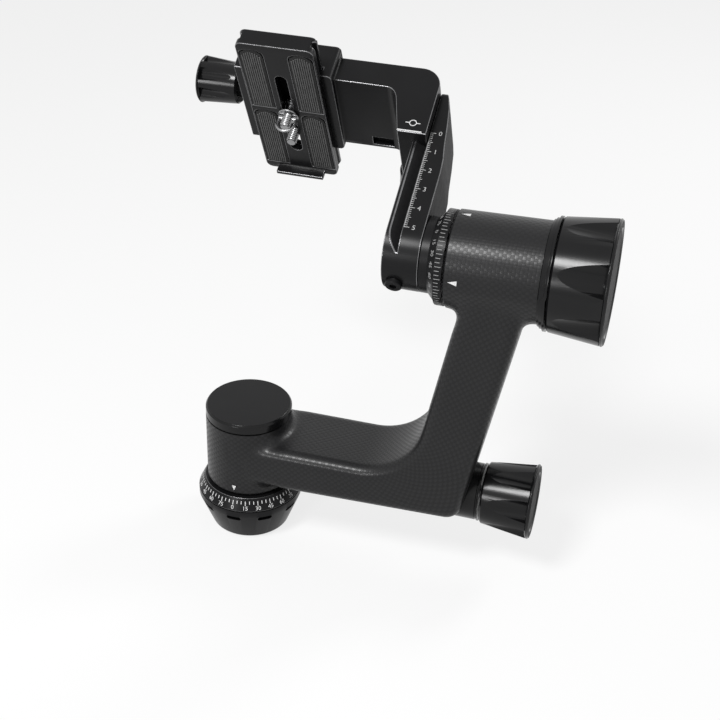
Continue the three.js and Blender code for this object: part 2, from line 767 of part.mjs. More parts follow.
add(head, "pan_lock_knob", alongX(panKnob).translate(panKnobStart, 0, panLockHeight), glossBlack());
const panScrew = disc(panScrewRadius, panScrewEnd, panKnobStart + panScrewHold, coarse);
add(head, "pan_lock_screw", alongX(panScrew).translate(0, 0, panLockHeight), steel());
const brakePadFace = bearingBore;
const rodStart = brakePadFace + brakePadThickness + fitGap;
const pushRod = disc(pushRodRadius, rodStart, panScrewEnd - fitGap, coarse);
add(head, "pan_push_rod", alongX(pushRod).translate(0, 0, panLockHeight), steel());
const padBlank = disc(brakePadRadius, bearingBore / 2, brakePadFace + brakePadThickness, coarse);
const brakePad = cut(
  solid(alongX(padBlank).translate(0, 0, panLockHeight)),
  solid(disc(brakePadFace, 0, tiltHeight, medium)),
);
add(head, "pan_brake_pad", brakePad, bronze());

// Tilt lock: the knob's screw passes the end flange and presses the disc on the end of the shaft.
const brakeDisc = disc(seatRadius - runGap, brakeDiscLeft, brakeDiscRight, medium);
add(head, "tilt_brake_disc", alongX(brakeDisc).translate(0, 0, tiltHeight), bronze());
const tiltKnob = knob(
  tiltKnobLength, tiltKnobSmallRadius, tiltKnobLargeRadius, tiltScrewRadius + fitGap,
  tiltScrewHold + fitGap, fine,
);
add(head, "tilt_lock_knob", alongX(tiltKnob).translate(tiltKnobStart, 0, tiltHeight), glossBlack());
const tiltScrew = disc(tiltScrewRadius, brakeDiscRight + fitGap, tiltKnobStart + tiltScrewHold, medium);
add(head, "tilt_lock_screw", alongX(tiltScrew).translate(0, 0, tiltHeight), steel());

// Tilt shaft with its spigot in the slide bar's hub, its bearings and nut.
const shaftSpigotEnd = barBack - shaftSpigotDepth;
const shaftProfile = [
  [0, shaftSpigotEnd],
  [shaftSpigotRadius, shaftSpigotEnd],
  [shaftSpigotRadius, tiltRingLeft],
  [shaftCollarRadius, tiltRingLeft],
  [shaftCollarRadius, tiltLeftBearing - fitGap],
  [bearingBore - fitGap, tiltLeftBearing - fitGap],
  [bearingBore - fitGap, shaftRight],
  [0, shaftRight],
];
add(cradle, "tilt_shaft", alongX(turned(shaftProfile, medium)), steel());
addBearing(cradle, "tilt_bearing_left", tiltLeftBearing, alongX);
addBearing(cradle, "tilt_bearing_right", tiltRightBearing, alongX);
const tiltNut = hexNut(bearingBore, bearingNutRadius, tiltNutLeft, tiltNutRight);
add(cradle, "tilt_retaining_nut", alongX(tiltNut), steel());

const tiltRingProfile = [
  [shaftCollarRadius + fitGap, tiltRingLeft],
  [tiltRingNeckRadius, tiltRingLeft],
  [tiltRingNeckRadius, tiltRingConeLeft],
  [tiltRingConeRadius, tiltRingBandLeft],
  [tiltRingBandRadius, tiltRingBandLeft],
  [tiltRingBandRadius, tiltRingRight],
  [shaftCollarRadius + fitGap, tiltRingRight],
  [shaftCollarRadius + fitGap, tiltRingLeft],
];
add(cradle, "tilt_scale_ring", alongX(turned(tiltRingProfile, fine)), anodised());

// Slide bar: the outline seen along the tilt axis, a tapered back and a dovetail groove on each side.
function barOutline() {
  const shape = new THREE.Shape();
  shape.absarc(0, 0, barHalfWidth, Math.PI / 2, Math.PI * 1.5);
  shape.absarc(barReach - barEndRadius, barEndRadius - barHalfWidth, barEndRadius, -Math.PI / 2, 0);
  shape.absarc(barReach - barEndRadius, barHalfWidth - barEndRadius, barEndRadius, 0, Math.PI / 2);
  shape.closePath();
  return shape;
}
function grooveTool(side) {
  const wide = side * (barHalfWidth + overrun);
  const shape = shapeOf([
    [barFront + barLip, wide],
    [barFront + barLip, side * barHalfWidth],
    [barSlopeEnd, side * barNeckHalfWidth],
    [barGrooveBack, side * barNeckHalfWidth],
    [barGrooveBack, wide],
  ]);
  return solid(acrossY(extruded(shape, -barReach - overrun, barHalfWidth + overrun)));
}
const hubScrewPlace = barFront + hubScrewInset;
function makeSlideBar() {
  const taperLength = barReach - barTaperStart;
  const back = barBackShares.map(([along, drop]) => [
    barBack - drop * barTaperDrop, barTaperStart + along * taperLength,
  ]);
  const side = shapeOf([
    [barFront, -barHalfWidth - overrun],
    [barBack, -barHalfWidth - overrun],
    ...back,
    [barFront, barReach],
  ]);
  const blank = solid(facingX(extruded(barOutline(), barFront, barBack, medium)));
  const profile = solid(extruded(side, -barHalfWidth - overrun, barHalfWidth + overrun));
  const spigotHole = disc(shaftSpigotRadius + fitGap, shaftSpigotEnd - fitGap, barBack + overrun, medium);
  const screwHole = disc(hubScrewShankRadius + fitGap, -barHalfWidth - overrun, -shaftSpigotRadius, coarse);
  const stopHole = disc(stopScrewRadius + fitGap, barFront - overrun, barFront + stopScrewLength, coarse);
  const stopSeatEnd = barFront + stopScrewHeadHeight;
  const stopSeat = disc(stopScrewHeadRadius + fitGap, barFront - overrun, stopSeatEnd, coarse);
  const stopPlace = barReach - stopScrewInset;
  return cut(
    blank.intersect(profile),
    grooveTool(1),
    grooveTool(-1),
    solid(alongX(spigotHole)),
    solid(alongY(screwHole).translate(hubScrewPlace, 0, 0)),
    solid(alongX(stopHole).translate(0, stopPlace, 0)),
    solid(alongX(stopSeat).translate(0, stopPlace, 0)),
  );
}
add(cradle, "slide_bar", makeSlideBar(), anodised());

// The screw under the hub bears on the shaft's spigot and keeps the bar on it.
const hubScrewProfile = [
  [0, -barHalfWidth - hubScrewProud - fitGap],
  [hubScrewRadius, -barHalfWidth - hubScrewProud - fitGap],
  [hubScrewRadius, -barHalfWidth - fitGap],
  [hubScrewShankRadius, -barHalfWidth - fitGap],
  [hubScrewShankRadius, -shaftSpigotRadius - fitGap],
  [0, -shaftSpigotRadius - fitGap],
];
const hubScrew = alongY(turned(hubScrewProfile, coarse)).translate(hubScrewPlace, 0, 0);
add(cradle, "hub_set_screw", hubScrew, anodised());
const stopProfile = [
  [0, barFront],
  [stopScrewHeadRadius, barFront],
  [stopScrewHeadRadius, barFront + stopScrewHeadHeight - fitGap],
  [stopScrewRadius, barFront + stopScrewHeadHeight - fitGap],
  [stopScrewRadius, barFront + stopScrewLength - fitGap],
  [0, barFront + stopScrewLength - fitGap],
];
const stopScrew = alongX(turned(stopProfile, coarse)).translate(0, barReach - stopScrewInset, 0);
add(cradle, "bar_stop_screw", stopScrew, steel());

// Bracket: a leg with the dovetail channel, a bend, a foot, the clamp seat and its fixed jaw.
const legBack = barGrooveBack - fitGap;
const channelFloor = barFront - fitGap;
const gibReach = barFront - gibThickness;
const slideLockPlace = barFront - slideLockInset;
const jawNose = plateFront + plateBodyThickness + fitGap;
const tailFlare = plateTailHalfWidth - plateNeckHalfWidth;
const tailSlopeEnd = plateBack - plateTailLand;
const tailSlopeStart = tailSlopeEnd - tailFlare;
const jawSlack = fitGap * Math.SQRT2;

// The jaw's face in the plate's groove, from its nose to the seat, for a side of 1 or -1.
function jawFace(side) {
  const at = (offset) => plateCentre + side * offset;
  return [
    [at(plateNeckHalfWidth + jawSlack), jawNose],
    [at(plateNeckHalfWidth + jawSlack), tailSlopeStart],
    [at(plateTailHalfWidth + jawSlack), tailSlopeEnd],
  ];
}
function legOutline() {
  const bend = legBack - footBendReach;
  const knee = legBack - legKneeThickness;
  const shape = new THREE.Shape();
  shape.moveTo(legBack - legEndThickness, legEnd);
  shape.lineTo(legBack, legEnd);
  shape.absarc(legBack - footCornerRadius, footBack - footCornerRadius, footCornerRadius, 0, Math.PI / 2);
  shape.lineTo(clampRight - clampCornerRadius, footBack);
  shape.lineTo(clampRight - clampCornerRadius, footFront);
  shape.lineTo(bend, footFront);
  shape.quadraticCurveTo(knee - (legKnee - legEnd) * legBendShare, footFront, knee, legKnee);
  shape.closePath();
  return shape;
}
function channelTool() {
  const wide = barHalfWidth + fitGap;
  const neck = barNeckHalfWidth + fitGap;
  const shape = shapeOf([
    [channelFloor, -wide],
    [barFront + barLip + fitGap, -wide],
    [barSlopeEnd + fitGap, -neck],
    [legBack + overrun, -neck],
    [legBack + overrun, neck],
    [barSlopeEnd + fitGap, neck],
    [barFront + barLip + fitGap, wide],
    [channelFloor, wide],
  ]);
  return solid(acrossY(extruded(shape, -footBack - overrun, -legEnd + overrun)));
}
const gibSeat = -barHalfWidth - fitGap;
function gibPocket() {
  const outside = -bracketHalfWidth - overrun;
  const shape = shapeOf([
    [gibReach - fitGap, outside],
    [legBack + overrun, outside],
    [legBack + overrun, -barNeckHalfWidth],
    [channelFloor, -barNeckHalfWidth],
    [channelFloor, gibSeat - fitGap],
    [gibReach - fitGap, gibSeat - fitGap],
  ]);
  return solid(acrossY(extruded(shape, -gibHigh, -gibLow)));
}
function makeBracket() {
  const clampSection = shapeOf([
    ...jawFace(1),
    [plateCentre + plateTailHalfWidth + jawSlack, seatFront],
    [clampLeft, seatFront],
    [clampLeft, clampBack],
    [clampRight, clampBack],
    [clampRight, jawNose],
  ]);
  const leg = solid(extruded(legOutline(), -bracketHalfWidth, bracketHalfWidth));
  const clampBlank = solid(extruded(clampSection, clampLow, clampHigh));
  const clampPlan = roundedRectangle(
    clampLeft - clampCornerRadius, clampRight, clampLow, clampHigh, clampCornerRadius,
  );
  const clampTrim = solid(acrossY(extruded(clampPlan, -clampBack - overrun, overrun - jawNose, cornerSteps)));
  const screwHole = disc(clampScrewRadius + fitGap, clampLeft - overrun, clampScrewGrip + clampLeft, coarse);
  const holes = [solid(alongX(screwHole).translate(0, clampAxisFront, clampAxisSide))];
  for (const side of [-1, 1]) {
    const pinDepth = guidePinReach + jawReserve + overrun;
    const pinHole = disc(guidePinRadius + runGap, clampLeft - overrun, clampLeft + pinDepth, coarse);
    holes.push(solid(alongX(pinHole).translate(0, clampAxisFront, clampAxisSide + side * guidePinSpread)));
  }
  const lockDepth = gibSeat + slideScrewGrip + overrun;
  const lockHole = disc(slideScrewRadius + fitGap, -bracketHalfWidth - overrun, lockDepth, coarse);
  const windowRight = legBack - footBendReach;
  const window = block(
    windowRight - footWindowWidth, windowRight, footFront - overrun, footFront + footWindowDepth,
    footWindowEdge - bracketHalfWidth, footWindowEdge + footWindowLength - bracketHalfWidth,
  );
  return cut(
    joined(leg, clampBlank.intersect(clampTrim)),
    channelTool(),
    gibPocket(),
    solid(lockHole.translate(slideLockPlace, slideLockHeight, 0)),
    solid(window),
    ...holes,
  );
}
add(cradle, "cradle_bracket", makeBracket(), anodised());

// Slide lock: the gib grips the bar's lip when the knob pulls it in.
function makeGib() {
  const outside = -bracketHalfWidth;
  const shape = shapeOf([
    [gibReach, outside],
    [barSlopeEnd + fitGap, outside],
    [barSlopeEnd + fitGap, -barNeckHalfWidth - fitGap],
    [barFront + barLip + fitGap, gibSeat],
    [barFront, gibSeat],
    [barFront, -bracketHalfWidth + gibWall],
    [gibReach, -bracketHalfWidth + gibWall],
  ]);
  const hole = disc(slideScrewRadius + fitGap, outside - overrun, outside + gibWall + overrun, coarse);
  return cut(
    solid(acrossY(extruded(shape, fitGap - gibHigh, -gibLow - fitGap))),
    solid(hole.translate(slideLockPlace, slideLockHeight, 0)),
  );
}
add(cradle, "slide_gib", makeGib(), anodised());
const slideKnobFace = -bracketHalfWidth - fitGap;
const slideKnob = knob(
  slideKnobLength, slideKnobRadius, slideKnobLargeRadius, slideScrewRadius + fitGap,
  slideKnobHold + fitGap, medium,
);
slideKnob.rotateY(Math.PI).translate(slideLockPlace, slideLockHeight, slideKnobFace);
add(cradle, "slide_lock_knob", slideKnob, glossBlack());
const slideScrew = disc(slideScrewRadius, slideKnobFace - slideKnobHold, gibSeat + slideScrewGrip, coarse);
add(cradle, "slide_lock_screw", slideScrew.translate(slideLockPlace, slideLockHeight, 0), steel());

// Clamp: the moving jaw on two guide pins, drawn in by the screw of the clamp knob.
const jawRight = clampLeft - jawReserve;
const jawLeft = jawRight - jawThickness;
const clampKnobStart = jawLeft - clampKnobGap;
function makeJaw() {
  const section = shapeOf([
    ...jawFace(-1),
    [plateCentre - plateTailHalfWidth - jawSlack, plateBack],
    [jawRight, plateBack],
    [jawRight, clampBack],
    [jawLeft, clampBack],
    [jawLeft, jawNose],
  ]);
  const blank = solid(extruded(section, clampLow + jawInset, clampHigh - jawInset));
  const screwHole = disc(clampScrewRadius + fitGap, jawLeft - overrun, jawRight + overrun, coarse);
  const holes = [solid(alongX(screwHole).translate(0, clampAxisFront, clampAxisSide))];
  for (const side of [-1, 1]) {
    const pinHole = disc(guidePinRadius + fitGap, jawRight - guidePinGrip, jawRight + overrun, coarse);
    holes.push(solid(alongX(pinHole).translate(0, clampAxisFront, clampAxisSide + side * guidePinSpread)));
  }
  return cut(blank, ...holes);
}
add(cradle, "clamp_jaw", makeJaw(), anodised());
[-1, 1].forEach((side, index) => {
  const pin = disc(guidePinRadius, jawRight - guidePinGrip + fitGap, jawRight + guidePinReach, coarse);
  alongX(pin).translate(0, clampAxisFront, clampAxisSide + side * guidePinSpread);
  add(cradle, "clamp_guide_pin_" + (index + 1), pin, steel());
});
function makeClampKnob() {
  const body = knob(
    clampKnobLength, clampKnobSmallRadius, clampKnobLargeRadius, clampScrewRadius + fitGap,
    clampScrewHold + fitGap, medium,
  );
  const neck = tube(
    clampScrewRadius + fitGap, clampKnobNeckRadius, clampKnobStart - fitGap, jawLeft - fitGap, medium,
  );
  const turnedOver = alongX(body).rotateY(Math.PI).translate(clampKnobStart, 0, 0);
  return joined(solid(turnedOver), solid(alongX(neck))).translate([0, clampAxisFront, clampAxisSide]);
}
add(cradle, "clamp_knob", makeClampKnob(), glossBlack());
const clampScrew = disc(
  clampScrewRadius, clampKnobStart - clampScrewHold, clampLeft + clampScrewGrip - jawReserve, coarse,
);
add(cradle, "clamp_screw", alongX(clampScrew).translate(0, clampAxisFront, clampAxisSide), steel());

// Quick-release plate: the section along its length, trimmed by its plan, with slot, pads, lip and screws.
const washerFront = plateFront + plateSlotFloor + fitGap;
function padPlan(side, low, high, grow) {
  const left = plateCentre + side * padOffset - padWidth / 2 - grow;
  const right = left + padWidth + 2 * grow;
  const shape = new THREE.Shape();
  shape.moveTo(left, low - grow);
  shape.lineTo(right, low - grow);
  shape.lineTo(right, high - padArch);
  shape.quadraticCurveTo(right, high + grow, (left + right) / 2, high + grow);
  shape.quadraticCurveTo(left, high + grow, left, high - padArch);
  shape.closePath();
  return shape;
}
const padSpans = [
  [-1, padMiddle + fitGap, padHighEnd],
  [1, padMiddle + fitGap, padHighEnd],
  [-1, padLowEnd, padMiddle - padArch],
  [1, padLowEnd, padMiddle - padArch],
];
function facingPlate(shape, front, back, curveSegments) {
  return acrossY(extruded(shape, -back, -front, curveSegments));
}
function makePlate() {
  const half = [
    [plateHalfWidth, plateFront],
    [plateHalfWidth, plateFront + plateBodyThickness],
    [plateNeckHalfWidth, plateFront + plateBodyThickness],
    [plateNeckHalfWidth, tailSlopeStart],
    [plateTailHalfWidth, tailSlopeEnd],
    [plateTailHalfWidth, plateBack],
  ];
  const right = half.map(([offset, front]) => [plateCentre + offset, front]);
  const left = half.map(([offset, front]) => [plateCentre - offset, front]).reverse();
  const plan = roundedRectangle(
    plateCentre - plateHalfWidth, plateCentre + plateHalfWidth, plateLow, plateHigh, plateCornerRadius,
  );
  const blank = solid(extruded(shapeOf([...right, ...left]), plateLow, plateHigh));
  const trim = solid(facingPlate(plan, plateFront - overrun, plateBack + overrun, cornerSteps));
  const lip = block(
    plateCentre - lipHalfWidth, plateCentre + lipHalfWidth, plateFront - lipReach, plateFront + padRecess,
    lipPlace - lipThickness, lipPlace,
  );
  const slot = obround(plateCentre, plateSlotLow, plateSlotHigh, plateSlotHalfWidth);
  const widen = plateSlotChannel - plateSlotHalfWidth;
  const channel = obround(plateCentre, plateSlotLow - widen, plateSlotHigh + widen, plateSlotChannel);
  const tools = [
    solid(facingPlate(slot, plateFront - overrun, plateBack, arcSteps)),
    solid(facingPlate(channel, plateFront + plateSlotFloor, plateBack + overrun, arcSteps)),
  ];
  for (const [side, low, high] of padSpans) {
    const recess = padPlan(side, low, high, fitGap);
    tools.push(solid(facingPlate(recess, plateFront - overrun, plateFront + padRecess, cornerSteps)));
  }
  for (const place of [plateStopLow, plateStopHigh]) {
    const hole = disc(plateStopRadius + fitGap, plateBack - plateStopDepth, plateBack + overrun, coarse);
    tools.push(solid(alongY(hole).translate(plateCentre, 0, place)));
  }
  return joined(cut(blank.intersect(trim), ...tools), solid(lip));
}
add(cradle, "release_plate", makePlate(), anodised());
padSpans.forEach(([side, low, high], index) => {
  const plan = padPlan(side, low, high, 0);
  const pad = facingPlate(plan, plateFront - padProud, plateFront + padRecess - fitGap, cornerSteps);
  add(cradle, "grip_pad_" + (index + 1), pad, rubber());
});

// The camera screw's head sits in the channel behind the slot, its thread stands out in front of the plate.
const cameraWasher = tube(
  cameraScrewRadius + fitGap, screwWasherRadius, washerFront, washerFront + screwWasherThickness, medium,
);
add(cradle, "camera_screw_washer", alongY(cameraWasher).translate(plateCentre, 0, cameraScrewPlace), steel());
const cameraHeadFront = washerFront + screwWasherThickness + fitGap;
const cameraScrewProfile = [
  [0, plateFront - cameraScrewProud],
  [cameraScrewRadius, plateFront - cameraScrewProud],
  [cameraScrewRadius, cameraHeadFront],
  [cameraScrewHeadRadius, cameraHeadFront],
  [cameraScrewHeadRadius, cameraHeadFront + cameraScrewHeadHeight],
  [0, cameraHeadFront + cameraScrewHeadHeight],
];
const cameraScrew = alongY(turned(cameraScrewProfile, medium)).translate(plateCentre, 0, cameraScrewPlace);
add(cradle, "camera_screw", cameraScrew, steel());

// The ring screw is driven from the front by its folding ring, and a nut in the channel holds it.
const ringScrewNut = tube(
  ringScrewShankRadius + fitGap, screwWasherRadius, washerFront, washerFront + ringScrewNutThickness, medium,
);
add(cradle, "ring_screw_nut", alongY(ringScrewNut).translate(plateCentre, 0, ringScrewPlace), steel());
const ringFlangeBack = plateFront - fitGap;
const ringFlangeFront = ringFlangeBack - ringScrewFlangeThickness;
const ringHeadFront = ringFlangeFront - ringScrewHeadHeight;
const ringAxisFront = ringFlangeFront - ringAxisRise;
function makeRingScrew() {
  const profile = [
    [0, ringHeadFront],
    [ringScrewHeadRadius, ringHeadFront],
    [ringScrewHeadRadius, ringFlangeFront],
    [ringScrewFlangeRadius, ringFlangeFront],
    [ringScrewFlangeRadius, ringFlangeBack],
    [ringScrewShankRadius, ringFlangeBack],
    [ringScrewShankRadius, washerFront + ringScrewNutThickness],
    [0, washerFront + ringScrewNutThickness],
  ];
  const hole = disc(
    ringWire + fitGap / 2, -ringScrewHeadRadius - overrun, ringScrewHeadRadius + overrun, coarse,
  );
  return cut(
    solid(alongY(turned(profile, medium)).translate(plateCentre, 0, ringScrewPlace)),
    solid(alongX(hole).translate(plateCentre, ringAxisFront, ringScrewPlace)),
  );
}
add(cradle, "ring_screw", makeRingScrew(), steel());
function makeRing() {
  const wire = new THREE.Shape().absarc(0, 0, ringWire, 0, Math.PI * 2);
  const bow = new THREE.CurvePath();
  const leg = (side) => new THREE.Vector3(side * ringBowRadius, 0, 0);
  const knee = (side) => new THREE.Vector3(side * ringBowRadius, -ringLeg, 0);
  class HalfTurn extends THREE.Curve {
    getPoint(share, target = new THREE.Vector3()) {
      const angle = Math.PI + share * Math.PI;
      return target.set(Math.cos(angle) * ringBowRadius, Math.sin(angle) * ringBowRadius - ringLeg, 0);
    }
  }
  bow.add(new THREE.LineCurve3(leg(-1), knee(-1)));
  bow.add(new HalfTurn());
  bow.add(new THREE.LineCurve3(knee(1), leg(1)));
  const settings = { extrudePath: bow, steps: coarse, curveSegments: wireSides / 2 };
  const arch = new THREE.ExtrudeGeometry(wire, settings);
  const bar = alongX(disc(ringWire, -ringBowRadius, ringBowRadius, wireSides));
  return joined(solid(arch), solid(bar)).translate([plateCentre, ringAxisFront, ringScrewPlace]);
}
add(cradle, "d_ring", makeRing(), steel());

// The stop screws keep the plate from sliding out of the loosened clamp.
const plateStopProfile = [
  [0, plateBack - plateStopDepth + fitGap],
  [plateStopRadius, plateBack - plateStopDepth + fitGap],
  [plateStopRadius, plateBack + fitGap],
  [plateStopHeadRadius, plateBack + fitGap],
  [plateStopHeadRadius, plateBack + fitGap + plateStopHeadHeight],
  [0, plateBack + fitGap + plateStopHeadHeight],
];
[plateStopLow, plateStopHigh].forEach((place, index) => {
  const screw = alongY(turned(plateStopProfile, coarse)).translate(plateCentre, 0, place);
  add(cradle, "plate_stop_screw_" + (index + 1), screw, steel());
});

export default head;
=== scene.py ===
import json
import math

import bmesh
import bpy
from mathutils import Matrix, Vector


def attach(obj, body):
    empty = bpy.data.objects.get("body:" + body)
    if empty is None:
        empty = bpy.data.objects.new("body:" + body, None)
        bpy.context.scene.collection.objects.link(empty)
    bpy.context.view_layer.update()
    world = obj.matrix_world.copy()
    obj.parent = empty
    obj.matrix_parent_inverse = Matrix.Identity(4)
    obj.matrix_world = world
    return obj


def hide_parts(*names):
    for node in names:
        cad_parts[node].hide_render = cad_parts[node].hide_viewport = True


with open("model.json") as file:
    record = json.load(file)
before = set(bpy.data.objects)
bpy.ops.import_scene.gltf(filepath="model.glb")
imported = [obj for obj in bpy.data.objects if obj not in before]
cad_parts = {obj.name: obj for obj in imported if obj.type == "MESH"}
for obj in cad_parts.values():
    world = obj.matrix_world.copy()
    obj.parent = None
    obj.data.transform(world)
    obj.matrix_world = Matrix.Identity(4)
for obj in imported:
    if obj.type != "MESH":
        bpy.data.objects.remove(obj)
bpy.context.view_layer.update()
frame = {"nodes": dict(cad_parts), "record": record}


# The view: a long lens a little to the right of the head and well above it, so that the pan cap's top
# and the front of the camera plate both show. It was fitted to the edges of the real head.
swing, height, roll = (math.radians(angle) for angle in (14.92, 32.57, 1.80))
back = Vector((
    math.sin(swing) * math.cos(height), -math.cos(swing) * math.cos(height), math.sin(height)))
right = Vector((math.cos(swing), math.sin(swing), 0))
above = back.cross(right)
rolled_right = right * math.cos(roll) + above * math.sin(roll)
rolled_above = above * math.cos(roll) - right * math.sin(roll)
camera = bpy.data.objects.new("camera", bpy.data.cameras.new("camera"))
camera.data.lens = 70.25
camera.data.sensor_width = 36
turn = Matrix((rolled_right, rolled_above, back)).transposed().to_4x4()
stands_at = (0.2477, -0.6688, 0.5725)
camera.matrix_world = Matrix.Translation(stands_at) @ turn
bpy.context.scene.collection.objects.link(camera)
bpy.context.scene.camera = camera
bpy.context.scene.view_settings.view_transform = "Standard"


# Floor and light: a white floor under the base, a white world and three soft lamps. Floor and world are
# white where they are seen or mirrored and light the head only dimly. The floor still takes a shadow.
FLOOR_LEVEL = -0.0006
FLOOR_GLOW = 0.75
ROOM_LIGHT = 0.3
MIDDLE_OF_HEAD = Vector((0.07, 0, 0.15))


class Tap:
    """A shader socket that can be added, subtracted, multiplied and divided like a number."""

    def __init__(self, tree, socket):
        self.tree = tree
        self.socket = socket

    def maths(self, operation, *values):
        node = self.tree.nodes.new("ShaderNodeMath")
        node.operation = operation
        for place, value in zip(node.inputs, values):
            if isinstance(value, Tap):
                self.tree.links.new(value.socket, place)
            else:
                place.default_value = value
        return Tap(self.tree, node.outputs[0])

    def __add__(self, other):
        return self.maths("ADD", self, other)

    def __rsub__(self, other):
        return self.maths("SUBTRACT", other, self)

    def __mul__(self, other):
        return self.maths("MULTIPLY", self, other)

    def __truediv__(self, other):
        return self.maths("DIVIDE", self, other)

    __radd__ = __add__


class Bench:
    """A node tree with one way to add a node: its type, its settings, and the values of its sockets."""

    def __init__(self, tree):
        self.tree = tree

    def node(self, kind, settings=None, inputs=None, output=0):
        node = self.tree.nodes.new("ShaderNode" + kind)
        for name, value in (settings or {}).items():
            setattr(node, name, value)
        for name, value in (inputs or {}).items():
            self.feed(node, name, value)
        return Tap(self.tree, node.outputs[output])

    def feed(self, node, name, value):
        if isinstance(value, Tap):
            self.tree.links.new(value.socket, node.inputs[name])
        else:
            node.inputs[name].default_value = value


def seen_directly(bench):
    """One for what the camera sees, straight or in a mirror, and nothing for scattered light."""
    camera_ray, mirrored, let_through = (
        bench.node("LightPath", output=f"Is {kind} Ray")
        for kind in ("Camera", "Glossy", "Transmission"))
    return mirrored.maths("MAXIMUM", let_through, camera_ray + mirrored)


def floor_material():
    material = bpy.data.materials.new("pale_floor")
    material.use_nodes = True
    bench = Bench(material.node_tree)
    nodes = material.node_tree.nodes
    nodes.remove(nodes["Principled BSDF"])
    matt = bench.node("BsdfDiffuse", inputs={"Color": (0.86, 0.86, 0.86, 1)})
    glow = bench.node("Emission", inputs={"Color": (1, 1, 1, 1), "Strength": 1.0})
    share = seen_directly(bench) * FLOOR_GLOW
    mixed = bench.node("MixShader", inputs={0: share, 1: matt, 2: glow})
    bench.feed(nodes["Material Output"], "Surface", mixed)
    return material


floor_shape = bmesh.new()
bmesh.ops.create_grid(floor_shape, x_segments=1, y_segments=1, size=4)
bmesh.ops.translate(floor_shape, verts=floor_shape.verts, vec=(0, 0, FLOOR_LEVEL))
floor_mesh = bpy.data.meshes.new("floor")
floor_shape.to_mesh(floor_mesh)
floor_mesh.materials.append(floor_material())
floor = bpy.data.objects.new("floor", floor_mesh)
bpy.context.scene.collection.objects.link(floor)

world = bpy.data.worlds.new("pale_room")
world.use_nodes = True
bpy.context.scene.world = world
room = Bench(world.node_tree)
direct = seen_directly(room)
room.feed(world.node_tree.nodes["Background"], "Strength", direct + (1 - direct) * ROOM_LIGHT)
room.feed(world.node_tree.nodes["Background"], "Color", (1, 1, 1, 1))


def lamp(name, place, width, power):
    light = bpy.data.lights.new(name, "AREA")
    light.shape = "DISK"
    light.size = width
    light.energy = power
    holder = bpy.data.objects.new(name, light)
    reach = Vector(place) - MIDDLE_OF_HEAD
    aimed = reach.to_track_quat("Z", "Y").to_matrix().to_4x4()
    holder.matrix_world = Matrix.Translation(place) @ aimed
    bpy.context.scene.collection.objects.link(holder)


lamp("key_lamp", (-0.22, -0.72, 1.15), width=0.34, power=13)
lamp("front_lamp", (-0.35, -1.15, 0.45), width=0.3, power=4)
lamp("back_lamp", (0.75, 0.75, 0.8), width=0.4, power=5)


# Base plate: a cone turned from aluminium and anodised satin black. Ten grip notches are milled under its
# rim. It screws onto the tripod through the steel bush in its middle.
MILLIMETRES = Matrix.Scale(0.001, 4)
NOTCHES = 10
# A piece's second finish is the painted highlight of its rounded edges, and its third the one of an end
# or a side, which on the slide bar's right side is painted shade.
HIGHLIGHT_EDGES, ENDS = 1, 2
# Millimetres that count as no distance at all.
NO_DISTANCE = 1e-4


def turned(profile, steps=128, closed=False):
    """A profile of (radius, height) in millimetres, spun about the z axis."""
    shape = bmesh.new()
    verts = [shape.verts.new((radius, 0, level)) for radius, level in profile]
    pairs = list(zip(verts, verts[1:])) + ([(verts[-1], verts[0])] if closed else [])
    edges = [shape.edges.new(pair) for pair in pairs]
    bmesh.ops.spin(
        shape, geom=verts + edges, cent=(0, 0, 0), axis=(0, 0, 1), angle=math.tau, steps=steps,
        use_merge=True)
    bmesh.ops.remove_doubles(shape, verts=shape.verts, dist=NO_DISTANCE)
    bmesh.ops.recalc_face_normals(shape, faces=shape.faces)
    return shape


def held(shape):
    mesh = bpy.data.meshes.new("blank")
    shape.to_mesh(mesh)
    shape.free()
    holder = bpy.data.objects.new("blank", mesh)
    bpy.context.scene.collection.objects.link(holder)
    return holder


def taken(holder):
    """The shape of a holder with its modifiers done. The holder goes."""
    graph = bpy.context.evaluated_depsgraph_get()
    graph.update()
    shape = bmesh.new()
    shape.from_object(holder, graph)
    drop(holder)
    return shape


def drop(holder):
    mesh = holder.data
    bpy.data.objects.remove(holder)
    bpy.data.meshes.remove(mesh)


def carved(body, tool):
    blank, cutter = held(body), held(tool)
    cut = blank.modifiers.new("cut", "BOOLEAN")
    cut.operation = "DIFFERENCE"
    cut.solver = "EXACT"
    cut.object = cutter
    shape = taken(blank)
    drop(cutter)
    return shape


def block(low, high):
    shape = bmesh.new()
    bmesh.ops.create_cube(shape, size=1)
    low, high = Vector(low), Vector(high)
    bmesh.ops.scale(shape, verts=shape.verts, vec=high - low)
    bmesh.ops.translate(shape, verts=shape.verts, vec=(low + high) / 2)
    return shape


def gathered(shapes):
    """Several shapes as one."""
    whole = bmesh.new()
    for shape in shapes:
        mesh = bpy.data.meshes.new("part")
        shape.to_mesh(mesh)
        shape.free()
        whole.from_mesh(mesh)
        bpy.data.meshes.remove(mesh)
    return whole


def bevelled(shape, places, width, segments, affect="EDGES", clamp=False):
    return bmesh.ops.bevel(
        shape, geom=places, offset=width, offset_type="OFFSET", segments=segments, profile=0.5,
        affect=affect, clamp_overlap=clamp, material=-1)


def eased(shape, width, segments=2, sharper_than=28, wear_and_highlight=False, clamp=True):
    """Rounds every outer edge that is sharper than an angle in degrees. With wear_and_highlight, the
    rounds take a painted highlight.
    """
    limit = math.radians(sharper_than)
    edges = [edge for edge in shape.edges
             if edge.is_manifold and edge.is_convex and edge.calc_face_angle(0) > limit]
    made = bevelled(shape, edges, width, segments, clamp=clamp)
    # Painted highlight: the new rounds take the piece's second finish, a lighter black than the rest.
    if wear_and_highlight:
        for face in made["faces"]:
            face.material_index = HIGHLIGHT_EDGES
    return shape


